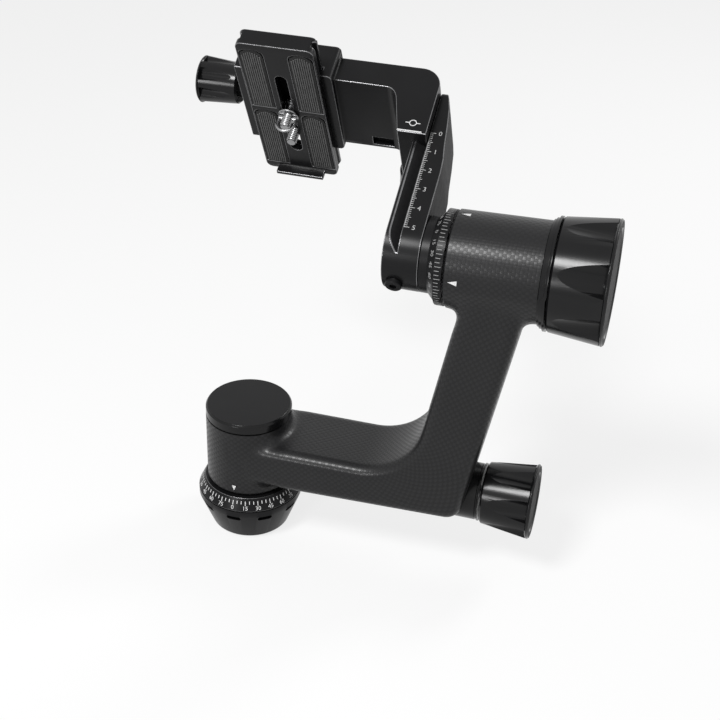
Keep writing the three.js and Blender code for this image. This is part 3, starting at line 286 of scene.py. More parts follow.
def settle(shape, name, body, finishes, stands_for=(), place=MILLIMETRES, sharp=32):
    """Puts a finished shape on a body, where it takes the place of the nodes that it stands for."""
    shape.transform(place)
    many_cornered = [face for face in shape.faces if len(face.verts) > 4]
    bmesh.ops.triangulate(shape, faces=many_cornered)
    mesh = bpy.data.meshes.new(name)
    shape.to_mesh(mesh)
    shape.free()
    mesh.shade_smooth()
    mesh.set_sharp_from_angle(angle=math.radians(sharp))
    piece = bpy.data.objects.new(name, mesh)
    bpy.context.scene.collection.objects.link(piece)
    flats = piece.modifiers.new("flats", "WEIGHTED_NORMAL")
    flats.keep_sharp = True
    for finish in finishes:
        mesh.materials.append(finish)
    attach(piece, body)
    if stands_for:
        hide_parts(*stands_for)


class Finish(Bench):
    """A material of one principled shader, with what is the same all over set on the shader itself."""

    def __init__(self, name, fixed):
        self.material = bpy.data.materials.new(name)
        self.material.use_nodes = True
        super().__init__(self.material.node_tree)
        self.shader = self.tree.nodes["Principled BSDF"]
        for socket, value in fixed.items():
            self.shader.inputs[socket].default_value = value
        self.place = self.node("TexCoord", output="Object")

    def noise(self, scale, detail):
        return self.node("TexNoise", inputs={"Vector": self.place, "Scale": scale, "Detail": detail})

    def between(self, factor, low, high):
        """A colour that goes from low to high."""
        return self.node(
            "Mix", settings={"data_type": "RGBA"},
            inputs={0: factor, 6: (*low, 1), 7: (*high, 1)}, output=2)

    def wear(self, **sockets):
        for socket, value in sockets.items():
            self.feed(self.shader, socket.replace("_", " "), value)

    def bump(self, level, depth, strength):
        self.feed(self.shader, "Normal", self.node(
            "Bump", inputs={"Height": level, "Distance": depth, "Strength": strength}))
        return self


def satin_black():
    finish = Finish("satin_black_anodising", {"Metallic": 0.0, "Specular IOR Level": 0.13})
    blasted = finish.noise(5200.0, 1.0)
    cloudy = finish.noise(34.0, 3.0)
    finish.wear(
        Base_Color=finish.between(cloudy, (0.0045, 0.0045, 0.0049), (0.0085, 0.0085, 0.0091)),
        Roughness=0.23 + cloudy * 0.1 + blasted * 0.05)
    return finish.bump(blasted, 0.00001, 0.5).material


# Painted highlight: a lighter, nearly metallic black for the rounded edges that stands in for the lamps'
# glint along them. Its noise only makes that highlight patchy.
def polished_edge():
    finish = Finish("black_edge_painted_highlight", {"Metallic": 0.85})
    rubbed = finish.noise(260.0, 3.0)
    finish.wear(
        Base_Color=finish.between(rubbed, (0.09, 0.09, 0.093), (0.24, 0.24, 0.245)),
        Roughness=0.2 + rubbed * 0.16)
    return finish.bump(rubbed, 0.00001, 0.3).material


SATIN, EDGE_HIGHLIGHT = satin_black(), polished_edge()

base_turning = turned([
    (0, 14.3), (8.3, 14.3), (8.3, 0), (23.5, 0), (24.5, 1), (32.25, 21), (32.25, 25), (22, 25),
    (22, 27.5), (0, 27.5)])
notches = []
for number in range(NOTCHES):
    notch = block((28.6, -4.5, 17.6), (36, 4.5, 21))
    lengthways = [edge for edge in notch.edges
                  if (edge.verts[0].co - edge.verts[1].co).yz.length < NO_DISTANCE]
    bevelled(notch, lengthways, width=1.2, segments=4)
    notch.transform(Matrix.Rotation((number + 0.5) * math.tau / NOTCHES, 4, "Z"))
    notches.append(notch)
base = eased(carved(base_turning, gathered(notches)), 0.35, wear_and_highlight=True)
settle(base, "base_cone", "base", (SATIN, EDGE_HIGHLIGHT), ("base_plate",))


# Steel pieces: bright turned steel, for the screws, the shafts and the bearings. The first is the bush in
# the base plate's middle, with the tripod's thread as ridges that stand in from its bore.
BUSH_BORE = 4.2
TRIPOD_THREAD = 4.76


def turned_steel():
    finish = Finish("bright_turned_steel", {"Metallic": 1.0})
    streaks = finish.noise(900.0, 2.0)
    patches = finish.noise(70.0, 2.0)
    finish.wear(
        Base_Color=finish.between(patches, (0.22, 0.222, 0.225), (0.38, 0.38, 0.384)),
        Roughness=0.18 + streaks * 0.14 + patches * 0.06)
    return finish.bump(streaks, 0.00001, 0.35).material


STEEL = turned_steel()


def thread(outer, pitch, depth, low, high):
    """The ridges of a thread, as one profile line from low to high."""
    count = int((high - low) / pitch)
    crest = outer - 0.1 * depth
    line = []
    for ridge in range(count):
        start = low + ridge * pitch
        line += [(outer - depth, start), (crest, start + 0.4 * pitch), (crest, start + 0.6 * pitch)]
    return line + [(outer - depth, low + count * pitch)]


ridges = thread(TRIPOD_THREAD, pitch=1.5, depth=1.0, low=0.8, high=13.2)
bush_wall = [(BUSH_BORE + (TRIPOD_THREAD - radius) * 0.5, level) for radius, level in ridges]
bush = turned([(8, 0), (8, 14), (4.7, 14)] + bush_wall[::-1] + [(5.1, 0)], steps=64, closed=True)
settle(bush, "tripod_bush", "base", (STEEL,), ("tripod_thread_bush",))


# Pan scale: a thin anodised ring on the base, with white engraved lines every five degrees and plain
# figures every fifteen. The figures run from 0 to 75 four times round.
LINES = 72
LINES_PER_FIGURE = 3
PAN_CONE = (32, 25.6), (28.7, 32.4)
PAN_ZERO = math.radians(-91.4)
# How deep in the surface a mark begins, and how far out of it it ends.
SUNK, PROUD = -0.04, 0.05


def engraving_paint(name, low, high):
    finish = Finish(name, {"Specular IOR Level": 0.3})
    wear_and_highlight = finish.noise(1400.0, 3.0)
    finish.wear(
        Base_Color=finish.between(wear_and_highlight, [low] * 3, [high] * 3),
        Roughness=0.5 + wear_and_highlight * 0.2)
    return finish.bump(wear_and_highlight, 0.00002, 0.4).material


WHITE = engraving_paint("white_engraving_paint", 0.45, 0.8)
PALE = engraving_paint("pale_engraving_paint", 0.3, 0.5)
GREY = engraving_paint("grey_engraving_paint", 0.2, 0.34)


def figures(text, tall):
    """Plain digits, flat in x and y and centred."""
    letters = bpy.data.curves.new("figures", "FONT")
    letters.body = text
    letters.size = tall / 0.7
    letters.extrude = 0.04
    letters.align_x = "CENTER"
    letters.align_y = "CENTER"
    letters.resolution_u = 3
    holder = bpy.data.objects.new("figures", letters)
    bpy.context.scene.collection.objects.link(holder)
    bpy.context.view_layer.update()
    mesh = bpy.data.meshes.new_from_object(holder)
    shape = bmesh.new()
    shape.from_mesh(mesh)
    bpy.data.objects.remove(holder)
    bpy.data.curves.remove(letters)
    bpy.data.meshes.remove(mesh)
    return shape


def wrapped(drawing, low, high, start):
    """Lays a flat drawing on a cone, from its lower rim to its upper, each a radius and a height."""
    slope = Vector((high[0] - low[0], high[1] - low[1])).normalized()
    for vert in drawing.verts:
        along, up, out = vert.co
        radius = low[0] + slope.x * up + slope.y * out
        level = low[1] + slope.y * up - slope.x * out
        angle = start + along / (low[0] + slope.x * up)
        vert.co = (radius * math.cos(angle), radius * math.sin(angle), level)
    return drawing


def line_on(cone, angle, half, start, end):
    """One line that runs up a cone, half its width to each side."""
    return wrapped(block((-half, start, SUNK), (half, end, PROUD)), *cone, angle)


def figure_on(cone, angle, step, at):
    """The plain figure of a line on a cone. After 75 the figures begin again at 0."""
    digits = figures(str(step // LINES_PER_FIGURE % 6 * 15), 2.5)
    bmesh.ops.translate(digits, verts=digits.verts, vec=(0, at, 0.01))
    return wrapped(digits, *cone, angle)


pan_ring = turned([
    (22.3, 25.3), (31.7, 25.3), (32, 25.6), (28.7, 32.4), (28.1, 33.1), (22.3, 33.1)], closed=True)
settle(eased(pan_ring, 0.15, wear_and_highlight=True), "pan_scale", "base", (SATIN, EDGE_HIGHLIGHT),
       ("pan_scale_ring",))
pan_marks = []
for step in range(LINES):
    angle = PAN_ZERO + math.tau / LINES * step
    has_figure = step % LINES_PER_FIGURE == 0
    pan_marks.append(line_on(PAN_CONE, angle, half=0.24, start=3.8 if has_figure else 4.7, end=6.6))
    if has_figure:
        pan_marks.append(figure_on(PAN_CONE, angle, step, at=2.0))
settle(gathered(pan_marks), "pan_scale_marks", "base", (WHITE,))


# Arm: one hollow shell laid up from woven carbon fibre in satin resin. Its two barrels flow into the
# horizontal arm and the leaning upright with soft fillets, and its edges are well rounded.
LEAN = math.radians(10.9)
TILT_AXIS = 206.8
ARM_AXIS = 52
ARM_TOP = 71
ELBOW_X, ELBOW_Z = 138.2, 45.2
UPRIGHT_WIDTH = 35.5
BAR_HALF = 26.5
BARREL_RADIUS = 26.5
BARREL_TOP = 79


def outline(corners, segments):
    """A flat face in x and z, from corners of (x, z, radius)."""
    shape = bmesh.new()
    verts = [shape.verts.new((x, 0, z)) for x, z, radius in corners]
    shape.faces.new(verts)
    rounded = []
    for index, (x, z, radius) in enumerate(corners):
        if radius:
            here = Vector((x, z))
            before = (Vector(corners[index - 1][:2]) - here).normalized()
            after = (Vector(corners[(index + 1) % len(corners)][:2]) - here).normalized()
            rounded.append((verts[index], radius * math.tan((math.pi - before.angle(after)) / 2)))
    for vert, reach in rounded:
        bevelled(shape, [vert], reach, segments, "VERTICES")
    return shape


def drawn_out(shape, faces, way):
    """Draws faces out along a way."""
    grown = bmesh.ops.extrude_face_region(shape, geom=faces)
    moved = [item for item in grown["geom"] if isinstance(item, bmesh.types.BMVert)]
    bmesh.ops.translate(shape, verts=moved, vec=way)


def thickened(shape, start, end):
    """A flat face in x and z made solid from one y to another."""
    bmesh.ops.translate(shape, verts=shape.verts, vec=(0, start, 0))
    drawn_out(shape, shape.faces[:], (0, end - start, 0))
    bmesh.ops.recalc_face_normals(shape, faces=shape.faces)
    return shape


def outer_face(z):
    return ELBOW_X + (z - ELBOW_Z) * math.tan(LEAN)


def inner_face(z):
    return outer_face(z) - UPRIGHT_WIDTH / math.cos(LEAN)


arm_outline = outline([
    (0, 42, 0), (ELBOW_X, ELBOW_Z, 9.5), (outer_face(TILT_AXIS), TILT_AXIS, 0),
    (inner_face(TILT_AXIS), TILT_AXIS, 0), (inner_face(ARM_TOP), ARM_TOP, 38), (0, ARM_TOP, 0)],
    segments=16)
arm_bar = thickened(arm_outline, -BAR_HALF, BAR_HALF)
rims = [edge for edge in arm_bar.edges if abs(edge.verts[0].co.y - edge.verts[1].co.y) < NO_DISTANCE]
bevelled(arm_bar, rims, width=6.5, segments=8)
for vert in arm_bar.verts:
    rise = min(max((vert.co.z - ARM_TOP) / (TILT_AXIS - ARM_TOP), 0), 1)
    vert.co.y *= 1 - 0.07 * rise
ALONG_X = Matrix.Rotation(math.pi / 2, 4, "Y")
AT_TILT = Matrix.Translation((0, 0, TILT_AXIS)) @ ALONG_X
pan_barrel = turned([(0, 31), (BARREL_RADIUS, 31), (BARREL_RADIUS, 81), (0, 81)])
tilt_barrel = turned([(0, 118.5), (27.35, 118.5), (28.55, 174.3), (0, 174.3)])
tilt_barrel.transform(AT_TILT)
arm_holder = held(gathered([arm_bar, pan_barrel, tilt_barrel]))
skin = arm_holder.modifiers.new("skin", "REMESH")
skin.mode = "VOXEL"
skin.voxel_size = 1.0
arm = taken(arm_holder)


def smoothed(shape, verts):
    bmesh.ops.smooth_vert(
        shape, verts=verts, factor=0.5, use_axis_x=True, use_axis_y=True, use_axis_z=True)


FILLET_REACH = 13
FILLET_ROUNDS = 80
BAR_BOTTOM, BAR_MIDDLE, BAR_SHOULDER = 42.6, 57, 65
FLAT_TOP_HALF = 22
TILT_RADIUS = 27.8


def nearness(point):
    """One where the bar meets a barrel, falling to nothing at the reach of the fillets."""
    x, y, z = point
    from_pan = math.hypot(x, y) - BARREL_RADIUS
    from_tilt = math.hypot(y, z - TILT_AXIS) - TILT_RADIUS
    away = FILLET_REACH
    if x > -6:
        if z <= BAR_MIDDLE:
            from_bar = z - BAR_BOTTOM
        elif abs(y) < FLAT_TOP_HALF:
            from_bar = max(z - ARM_TOP, 0)
        else:
            from_bar = z - BAR_SHOULDER
        away = math.hypot(from_pan, from_bar)
    if z < TILT_AXIS - 6 and 122 < x < 172.6:
        away = min(away, abs(from_tilt))
    return max(1 - away / FILLET_REACH, 0)


for _ in range(4):
    smoothed(arm, arm.verts[:])
weights = [(vert, nearness(vert.co)) for vert in arm.verts]
for step in range(FILLET_ROUNDS):
    least = 0.02 + 0.9 * step / FILLET_ROUNDS
    smoothed(arm, [vert for vert, weight in weights if weight > least])
pan_spool = turned([
    (0, 26), (33, 26), (33, 37), (27.6, 37), (25, 33.5), (23.5, 33.5), (23.5, BARREL_TOP),
    (33, BARREL_TOP), (33, 84), (0, 84)])
tilt_spool = turned([
    (0, 112), (36, 112), (36, 123.5), (28.4, 122.2), (26.8, 120.8), (24.4, 120.8), (24.4, 172),
    (36, 172), (36, 178), (0, 178)])
tilt_spool.transform(AT_TILT)
rod_bore = turned([(0, 20), (3.2, 20), (3.2, 127), (5.4, 127), (5.4, 152), (0, 152)], steps=24)
rod_bore.transform(Matrix.Translation((0, 0, ARM_AXIS)) @ ALONG_X)
for tool in (pan_spool, tilt_spool, rod_bore):
    arm = carved(arm, tool)

# The cloth is laid round the elbow about this centre, at this radius. The narrow faces have a strip of
# their own, this far across from the one on the sides.
BEND_X, BEND_Z, BEND_RADIUS = 75.6, 109, 54
STRIP_APART = 200


def weave_place(point, normal):
    """Where a point lies on the cloth, in millimetres along the tows and across them."""
    x, y, z = point
    on_pan_barrel = math.hypot(x, y) < 27.4 and (x < 12 or z > 72.5 or z < 41.5)
    on_tilt_barrel = math.hypot(y, z - TILT_AXIS) < 29.2 and x > 118 and z > 180
    if on_pan_barrel:
        return math.atan2(y, x) * BARREL_RADIUS, z
    if on_tilt_barrel:
        return x, math.atan2(y, z - TILT_AXIS) * 28
    from_x, from_z = x - BEND_X, z - BEND_Z
    bend = min(max(math.atan2(from_x, -from_z), 0), math.pi / 2 - LEAN)
    along_way = Vector((math.cos(bend), math.sin(bend)))
    ahead = along_way.x * from_x + along_way.y * from_z
    across = along_way.y * from_x - along_way.x * from_z
    on_a_side = abs(normal.y) > 0.55
    return BEND_X + bend * BEND_RADIUS + ahead, across if on_a_side else y + STRIP_APART


cloth = arm.loops.layers.uv.new("cloth")
for face in arm.faces:
    for loop in face.loops:
        loop[cloth].uv = weave_place(loop.vert.co, face.normal)


def carbon_weave():
    finish = Finish("satin_carbon_weave", {"Coat Roughness": 0.26, "Specular IOR Level": 0.18})
    spot = finish.node("UVMap", settings={"uv_map": "cloth"})
    wander = finish.noise(55.0, 2.0)
    along = finish.node("SeparateXYZ", inputs={0: spot})
    across = Tap(finish.tree, along.socket.node.outputs[1])
    warp = along / 2.1 + wander * 0.3
    weft = across / 1.8 + wander * 0.3
    over = warp.maths("FLOORED_MODULO", warp.maths("FLOOR", warp) + weft.maths("FLOOR", weft), 2.0)
    along_arch = warp.maths("SINE", warp.maths("FRACT", warp) * math.pi)
    across_arch = weft.maths("SINE", weft.maths("FRACT", weft) * math.pi)
    warp_crown = along_arch.maths("POWER", along_arch, 0.6) * (across_arch * 0.35 + 0.65)
    weft_crown = across_arch.maths("POWER", across_arch, 0.6) * (along_arch * 0.35 + 0.65)
    crown = over * warp_crown + (1 - over) * weft_crown
    cloudy = finish.noise(18.0, 3.0)
    shade = over * 0.55 + crown * 0.3 + cloudy * 0.25
    finish.wear(
        Base_Color=finish.between(shade, (0.004, 0.004, 0.0043), (0.0125, 0.0125, 0.0132)),
        Roughness=0.27 + (1 - over) * 0.14 + cloudy * 0.08,
        Coat_Weight=0.1 + cloudy * 0.08)
    return finish.bump(crown, 0.00012, 0.4).material


CARBON = carbon_weave()
settle(arm, "carbon_arm", "arm", (CARBON,), ("arm_shell",), sharp=40)


# Pointers: small white triangles printed on the barrels, one over the pan scale and two beside the tilt
# scale, to read each dial against.
def pointer(width, length):
    """A triangle with its tip at the origin, that points down in y."""
    shape = bmesh.new()
    corners = (0, 0, 0), (width / 2, length, 0), (-width / 2, length, 0)
    shape.faces.new([shape.verts.new(corner) for corner in corners])
    drawn_out(shape, shape.faces[:], (0, 0, 0.08))
    bmesh.ops.recalc_face_normals(shape, faces=shape.faces)
    return shape


pan_pointer = wrapped(
    pointer(2.6, 3.4), (BARREL_RADIUS, 37.2), (BARREL_RADIUS, BARREL_TOP), math.radians(-92.3))
settle(pan_pointer, "pan_pointer", "arm", (WHITE,))
# Drawn about z, then laid on the tilt axis: the barrel widens a little towards the knob.
tilt_pointers = gathered([
    wrapped(pointer(3.0, 5.0), (27.46, 123.4), (28.5, 172), math.radians(angle))
    for angle in (-90, 180)])
tilt_pointers.transform(AT_TILT)
settle(tilt_pointers, "tilt_pointers", "arm", (WHITE,))


# Pan cap: a turned aluminium disc that closes the pan barrel, its spigot pressed into the sleeve there.
# It has a bevelled rim over a fine shadow groove, a gloss black side and a duller satin top.
CAP_TOP = 86


def gloss_black():
    finish = Finish("gloss_black_anodising", {"Metallic": 0.0, "Specular IOR Level": 0.22})
    turnings = finish.noise(1500.0, 1.0)
    cloudy = finish.noise(26.0, 2.0)
    finish.wear(
        Base_Color=finish.between(cloudy, (0.003, 0.003, 0.0033), (0.006, 0.006, 0.0064)),
        Roughness=0.13 + cloudy * 0.07 + turnings * 0.05)
    return finish.bump(turnings, 0.000006, 0.4).material


GLOSS = gloss_black()
cap = turned([
    (0, 76.7), (18.5, 76.7), (18.5, 79.3), (25.6, 79.3), (25.6, 79.9), (26.4, 79.9), (26.4, 84.7),
    (25.4, CAP_TOP), (0, CAP_TOP)])
for face in cap.faces:
    if face.calc_center_median().z > CAP_TOP - 0.1:
        face.material_index = ENDS
settle(eased(cap, 0.25, segments=3), "pan_barrel_cap", "arm", (GLOSS, EDGE_HIGHLIGHT, SATIN),
       ("pan_cap",))


# Lock knobs: turned cones of gloss black anodised aluminium, each on its lock's screw. Seven tapered
# flutes are milled to the round rim, and the dull end face has a shallow dish. The pan knob's screw runs
# in a turned collar at the elbow, the tilt knob's in a stepped flange on the tilt barrel.
FLUTES = 7
DISH_DEPTH = 0.7
# Where a knob's small end stands on its axis, and how far its flutes are turned round.
PAN_KNOB_X, PAN_KNOB_TURN = 149.6, 0.36
TILT_KNOB_X, TILT_KNOB_TURN = 177, 0.18


# Dull black: a nearly unreflecting black for the knobs' end faces. On the slide bar's right side it is
# painted shade, darker than the satin anodising there.
def dull_black():
    finish = Finish("dull_black_and_painted_shade", {"Metallic": 0.0, "Specular IOR Level": 0.03})
    dust = finish.noise(300.0, 3.0)
    finish.wear(
        Base_Color=finish.between(dust, (0.008, 0.008, 0.0085), (0.016, 0.016, 0.0165)),
        Roughness=0.4 + dust * 0.15)
    return finish.bump(dust, 0.000006, 0.4).material


DULL_AND_SHADE = dull_black()


def fluted_knob(length, small, large, rim=1.8, dish=True, edge=0.3):
    """A knob along z, from its small end at zero. The rim is how thick its round end plate is."""
    seam = length - rim
    body = turned(
        [(0, 0), (small - 1.2, 0), (small, 1.2), (large - 0.15, seam - 0.3), (0, seam - 0.3)], steps=140)
    radius, depth, start = large * 0.33, large * 0.1, length * 0.1
    slant = math.atan2(depth, length - start)
    for number in range(FLUTES):
        flute = bmesh.new()
        bmesh.ops.create_cone(
            flute, cap_ends=True, segments=48, radius1=radius, radius2=radius, depth=2 * length)
        flute.transform(
            Matrix.Rotation((number + 0.5) * math.tau / FLUTES, 4, "Z")
            @ Matrix.Translation((small + radius + (large - small) * 0.14, 0, start))
            @ Matrix.Rotation(-slant, 4, "Y") @ Matrix.Translation((0, 0, length)))
        body = carved(body, flute)
    body = eased(body, edge, sharper_than=15, wear_and_highlight=True)
    middle = [(0, length)]
    if dish:
        middle = [(large - 4.6, length), (large - 5.6, length - DISH_DEPTH), (0, length - DISH_DEPTH)]
    end_plate = turned([
        (0, seam - 0.6), (large - 1.0, seam - 0.6), (large - 0.3, seam), (large, seam + 0.35),
        (large, length - 0.8), (large - 0.8, length)] + middle, steps=140)
    for face in end_plate.faces:
        if face.normal.z > 0.9 and face.calc_center_median().z > length - 0.9:
            face.material_index = ENDS
    return gathered([body, eased(end_plate, 0.12)])


collar = turned([
    (0, 132), (17.2, 132), (17.2, 146.6), (16.7, 147.0), (16.7, 147.5), (17.6, 147.8), (17.6, 148.5),
    (0, 148.5)], steps=96)
collar.transform(Matrix.Translation((0, 0, ARM_AXIS)) @ ALONG_X)
settle(eased(collar, 0.2), "pan_lock_sleeve", "arm", (GLOSS,), ("pan_lock_collar",))
pan_knob = fluted_knob(length=30.8, small=18.7, large=22.6)
pan_knob.transform(
    Matrix.Translation((PAN_KNOB_X, 0, ARM_AXIS)) @ ALONG_X @ Matrix.Rotation(PAN_KNOB_TURN, 4, "Z"))
settle(pan_knob, "pan_lock_grip", "pan_lock", (GLOSS, EDGE_HIGHLIGHT, DULL_AND_SHADE), ("pan_lock_knob",))
flange = turned([
    (6.3, 171.3), (18.4, 171.3), (18.4, 172.3), (29.4, 172.3), (29.4, 173.6), (30.4, 173.6),
    (30.4, 175.2), (31.6, 175.4), (31.6, 176.6), (6.3, 176.6)], closed=True)
flange.transform(AT_TILT)
settle(eased(flange, 0.18), "tilt_barrel_flange", "arm", (GLOSS,),
       ("tilt_end_flange",))
tilt_knob = fluted_knob(length=31.3, small=31.6, large=34.7)
tilt_knob.transform(
    Matrix.Translation((TILT_KNOB_X, 0, TILT_AXIS)) @ ALONG_X @ Matrix.Rotation(TILT_KNOB_TURN, 4, "Z"))
settle(tilt_knob, "tilt_lock_grip", "tilt_lock", (GLOSS, EDGE_HIGHLIGHT, DULL_AND_SHADE), ("tilt_lock_knob",))


# Tilt scale: a stepped anodised ring on the tilt shaft, that turns with the cradle. Its cone has plain
# figures, and the band next to the barrel a line every five degrees, all filled with grey paint.
TILT_AT_REST = math.radians(29.26)
ON_TILT_AXIS = Matrix.Translation((0, 0, TILT_AXIS / 1000))
CRADLE = ON_TILT_AXIS @ Matrix.Rotation(TILT_AT_REST, 4, "X") @ MILLIMETRES
TILT_CONE = (21.7, 110.6), (26, 114.9)
TILT_BAND = (26.8, 115.2), (26.8, 119.4)
tilt_ring = turned([
    (13.3, 105.7), (21.0, 105.7), (21.3, 106), (21.3, 110.3), (21.7, 110.6), (26, 114.9), (26.8, 115.0),
    (26.8, 119.4), (13.3, 119.4)], closed=True)
tilt_ring.transform(ALONG_X)
settle(eased(tilt_ring, 0.15), "tilt_scale", "cradle", (SATIN,),
       ("tilt_scale_ring",), CRADLE)
tilt_marks = []
for step in range(LINES):
    end = 2.9 if step % LINES_PER_FIGURE else 3.7
    tilt_marks.append(line_on(TILT_BAND, math.tau / LINES * step, half=0.17, start=0.3, end=end))
for step in range(0, LINES, LINES_PER_FIGURE):
    tilt_marks.append(figure_on(TILT_CONE, math.tau / LINES * step, step, at=3.0))
tilt_marks = gathered(tilt_marks)
tilt_marks.transform(ALONG_X)
settle(tilt_marks, "tilt_scale_marks", "cradle", (GREY,), place=CRADLE)


# Slide bar: milled from aluminium plate, round at the hub on the tilt shaft, with a dovetail along each
# side and a tapered back. A ruler from 0 to 5 is engraved on its face and filled with pale paint.
RULER_X = 94.2
RULER_TOP = 65.8
RULER_STEP = 1.284
RULER_LINES = 51
RULER_FLOOR, RULER_FACE = 21.28, 21.36


def milled(node, width):
    """A clean copy of a node in the cradle's millimetres, with its outer edges broken and given a painted
    highlight.
    """
    shape = bmesh.new()
    shape.from_mesh(frame["nodes"][node].data)
    shape.transform(CRADLE.inverted())
    bmesh.ops.remove_doubles(shape, verts=shape.verts, dist=2e-3)
    bmesh.ops.dissolve_limit(
        shape, angle_limit=math.radians(0.8), use_dissolve_boundaries=False, verts=shape.verts,
        edges=shape.edges, delimit={"NORMAL"})
    return eased(shape, width, sharper_than=30, wear_and_highlight=True, clamp=False)


bar = milled("slide_bar", 0.45)
bar.normal_update()
# Painted shade: the faces of the bar's right side take the dull black, so that they stay as dark as in
# shade.
for face in bar.faces:
    if face.normal.x > 0.5 and face.material_index != HIGHLIGHT_EDGES:
        face.material_index = ENDS
settle(bar, "dovetail_bar", "cradle", (SATIN, EDGE_HIGHLIGHT, DULL_AND_SHADE), ("slide_bar",), CRADLE)
ruler = [block((RULER_X - 0.25, 1.3, RULER_FLOOR), (RULER_X, 66.1, RULER_FACE))]
for step in range(RULER_LINES):
    length, half = 1.4, 0.16
    if step % 5 == 0:
        length, half = 2.2, 0.18
    if step % 10 == 0:
        length = 2.8
    level = RULER_TOP - step * RULER_STEP
    ruler.append(block(
        (RULER_X, level - half, RULER_FLOOR), (RULER_X + length, level + half, RULER_FACE)))
for number, step in enumerate(range(0, RULER_LINES, 10)):
    digit = figures(str(number), 2.9)
    level = RULER_TOP - step * RULER_STEP
    bmesh.ops.translate(digit, verts=digit.verts, vec=(RULER_X + 5.2, level, 21.33))
    ruler.append(digit)
settle(gathered(ruler), "bar_ruler", "cradle", (PALE,), place=CRADLE)


# Screws of the slide bar: a black one that holds the hub on the tilt shaft, and a bright steel one near
# the bar's upper end that stops the bracket. Both have turned heads with a hexagon socket.
def socket_screw(head, tall, shank, length, key, recess=1.4):
    """A cap screw along z with the top of its head at zero and its shank below."""
    screw = turned([
        (0, 0), (head - 0.4, 0), (head, -0.4), (head, -tall), (shank, -tall), (shank, -length),
        (0, -length)], steps=48)
    socket = bmesh.new()
    bmesh.ops.create_cone(
        socket, cap_ends=True, segments=6, radius1=key, radius2=key, depth=2 * recess)
    return carved(screw, socket)


hub_screw = socket_screw(head=4.75, tall=2.3, shank=3, length=15.6, key=2.3)
hub_screw.transform(Matrix.Translation((92.2, -24.1, 0)) @ Matrix.Rotation(math.pi / 2, 4, "X"))
settle(hub_screw, "hub_screw", "cradle", (SATIN,), ("hub_set_screw",), CRADLE)
stop = socket_screw(head=3.4, tall=1.9, shank=2, length=8.7, key=1.5)
stop.transform(Matrix.Translation((85, 89, 0)) @ Matrix.Rotation(-math.pi / 2, 4, "Y"))
settle(stop, "bar_end_screw", "cradle", (STEEL,), ("bar_stop_screw",), CRADLE)


# Bracket: one piece milled from aluminium, a leg that rides on the bar's dovetail and a foot that carries
# the clamp, with edges broken and given a painted highlight. A white index line reads the ruler. A gib in
# the leg holds it on the bar, drawn in by a small fluted knob at the back.
INDEX_FLOOR, INDEX_FACE = 28.78, 28.87


def index_line(left, right, low, high):
    return block((left, low, INDEX_FLOOR), (right, high, INDEX_FACE))


settle(milled("cradle_bracket", 0.4), "bracket_body", "bracket", (SATIN, EDGE_HIGHLIGHT),
       ("cradle_bracket",), CRADLE)
circle = turned([
    (1.65, INDEX_FLOOR), (2.15, INDEX_FLOOR), (2.15, INDEX_FACE), (1.65, INDEX_FACE)],
    steps=40, closed=True)
circle.transform(Matrix.Translation((84.3, 65.2, 0)))
index_marks = gathered([
    index_line(76.4, 90.4, 59.1, 60.0), circle, index_line(80.0, 82.2, 64.95, 65.45),
    index_line(86.4, 88.6, 64.95, 65.45)])
settle(index_marks, "bracket_index", "bracket", (WHITE,), place=CRADLE)
settle(milled("slide_gib", 0.35), "gib_block", "gib", (SATIN, EDGE_HIGHLIGHT), ("slide_gib",),
       CRADLE)
slide_knob = fluted_knob(length=13, small=10.6, large=11.6, rim=1.2, dish=False, edge=0.15)
slide_knob.transform(Matrix.Translation((79.6, 77, -29.1)) @ Matrix.Rotation(math.pi, 4, "X"))
settle(slide_knob, "slide_lock_grip", "slide_lock", (GLOSS, EDGE_HIGHLIGHT, DULL_AND_SHADE),
       ("slide_lock_knob",), CRADLE)


# Clamp: a jaw milled from aluminium and anodised black, that two steel pins guide in the bracket's foot.
# A fluted knob with a short neck draws it in on a steel screw.
settle(milled("clamp_jaw", 0.5), "clamp_moving_jaw", "jaw", (SATIN, EDGE_HIGHLIGHT),
       ("clamp_jaw",), CRADLE)
clamp_grip = fluted_knob(length=25, small=12, large=14, rim=1.4, edge=0.18)
neck = turned([(4.3, -4.2), (7.2, -4.2), (7.6, -3.8), (7.6, 0.3), (4.3, 0.3)], steps=64, closed=True)
clamp_grip = gathered([clamp_grip, neck])
clamp_grip.transform(Matrix.Translation((-30.2, 95.6, 4.2)) @ Matrix.Rotation(-math.pi / 2, 4, "Y"))
settle(clamp_grip, "clamp_grip", "clamp_lock", (GLOSS, EDGE_HIGHLIGHT, DULL_AND_SHADE), ("clamp_knob",),
       CRADLE)


# Quick-release plate: milled aluminium with a dovetail tail, a long slot and a stop lip at its lower end.
# Four ribbed rubber pads lie in pockets of its face.
PLATE_MIDDLE = 4
# Each pad's side of the slot, and how low and how high it reaches.
PAD_SPANS = (-1, 8.7, 57.0), (1, 8.7, 57.0), (-1, -44.5, 4.9), (1, -44.5, 4.9)
PAD_HALF = 7
PAD_BACK, PAD_FACE, RIB_FACE = 78.7, 77.85, 77.4
RIBS_PER_PAD = 9
RIB_PITCH = 1.3
RIBBED = 1

settle(milled("release_plate", 0.4), "lens_plate", "plate", (SATIN, EDGE_HIGHLIGHT),
       ("release_plate",), CRADLE)


def moulded_rubber(name, low, high):
    finish = Finish(name, {"Specular IOR Level": 0.25})
    dust = finish.noise(420.0, 4.0)
    grain = finish.noise(3600.0, 2.0)
    finish.wear(
        Base_Color=finish.between(dust, [low] * 3, [high] * 3),
        Roughness=0.6 + grain * 0.2)
    return finish.bump(grain, 0.00004, 0.6).material


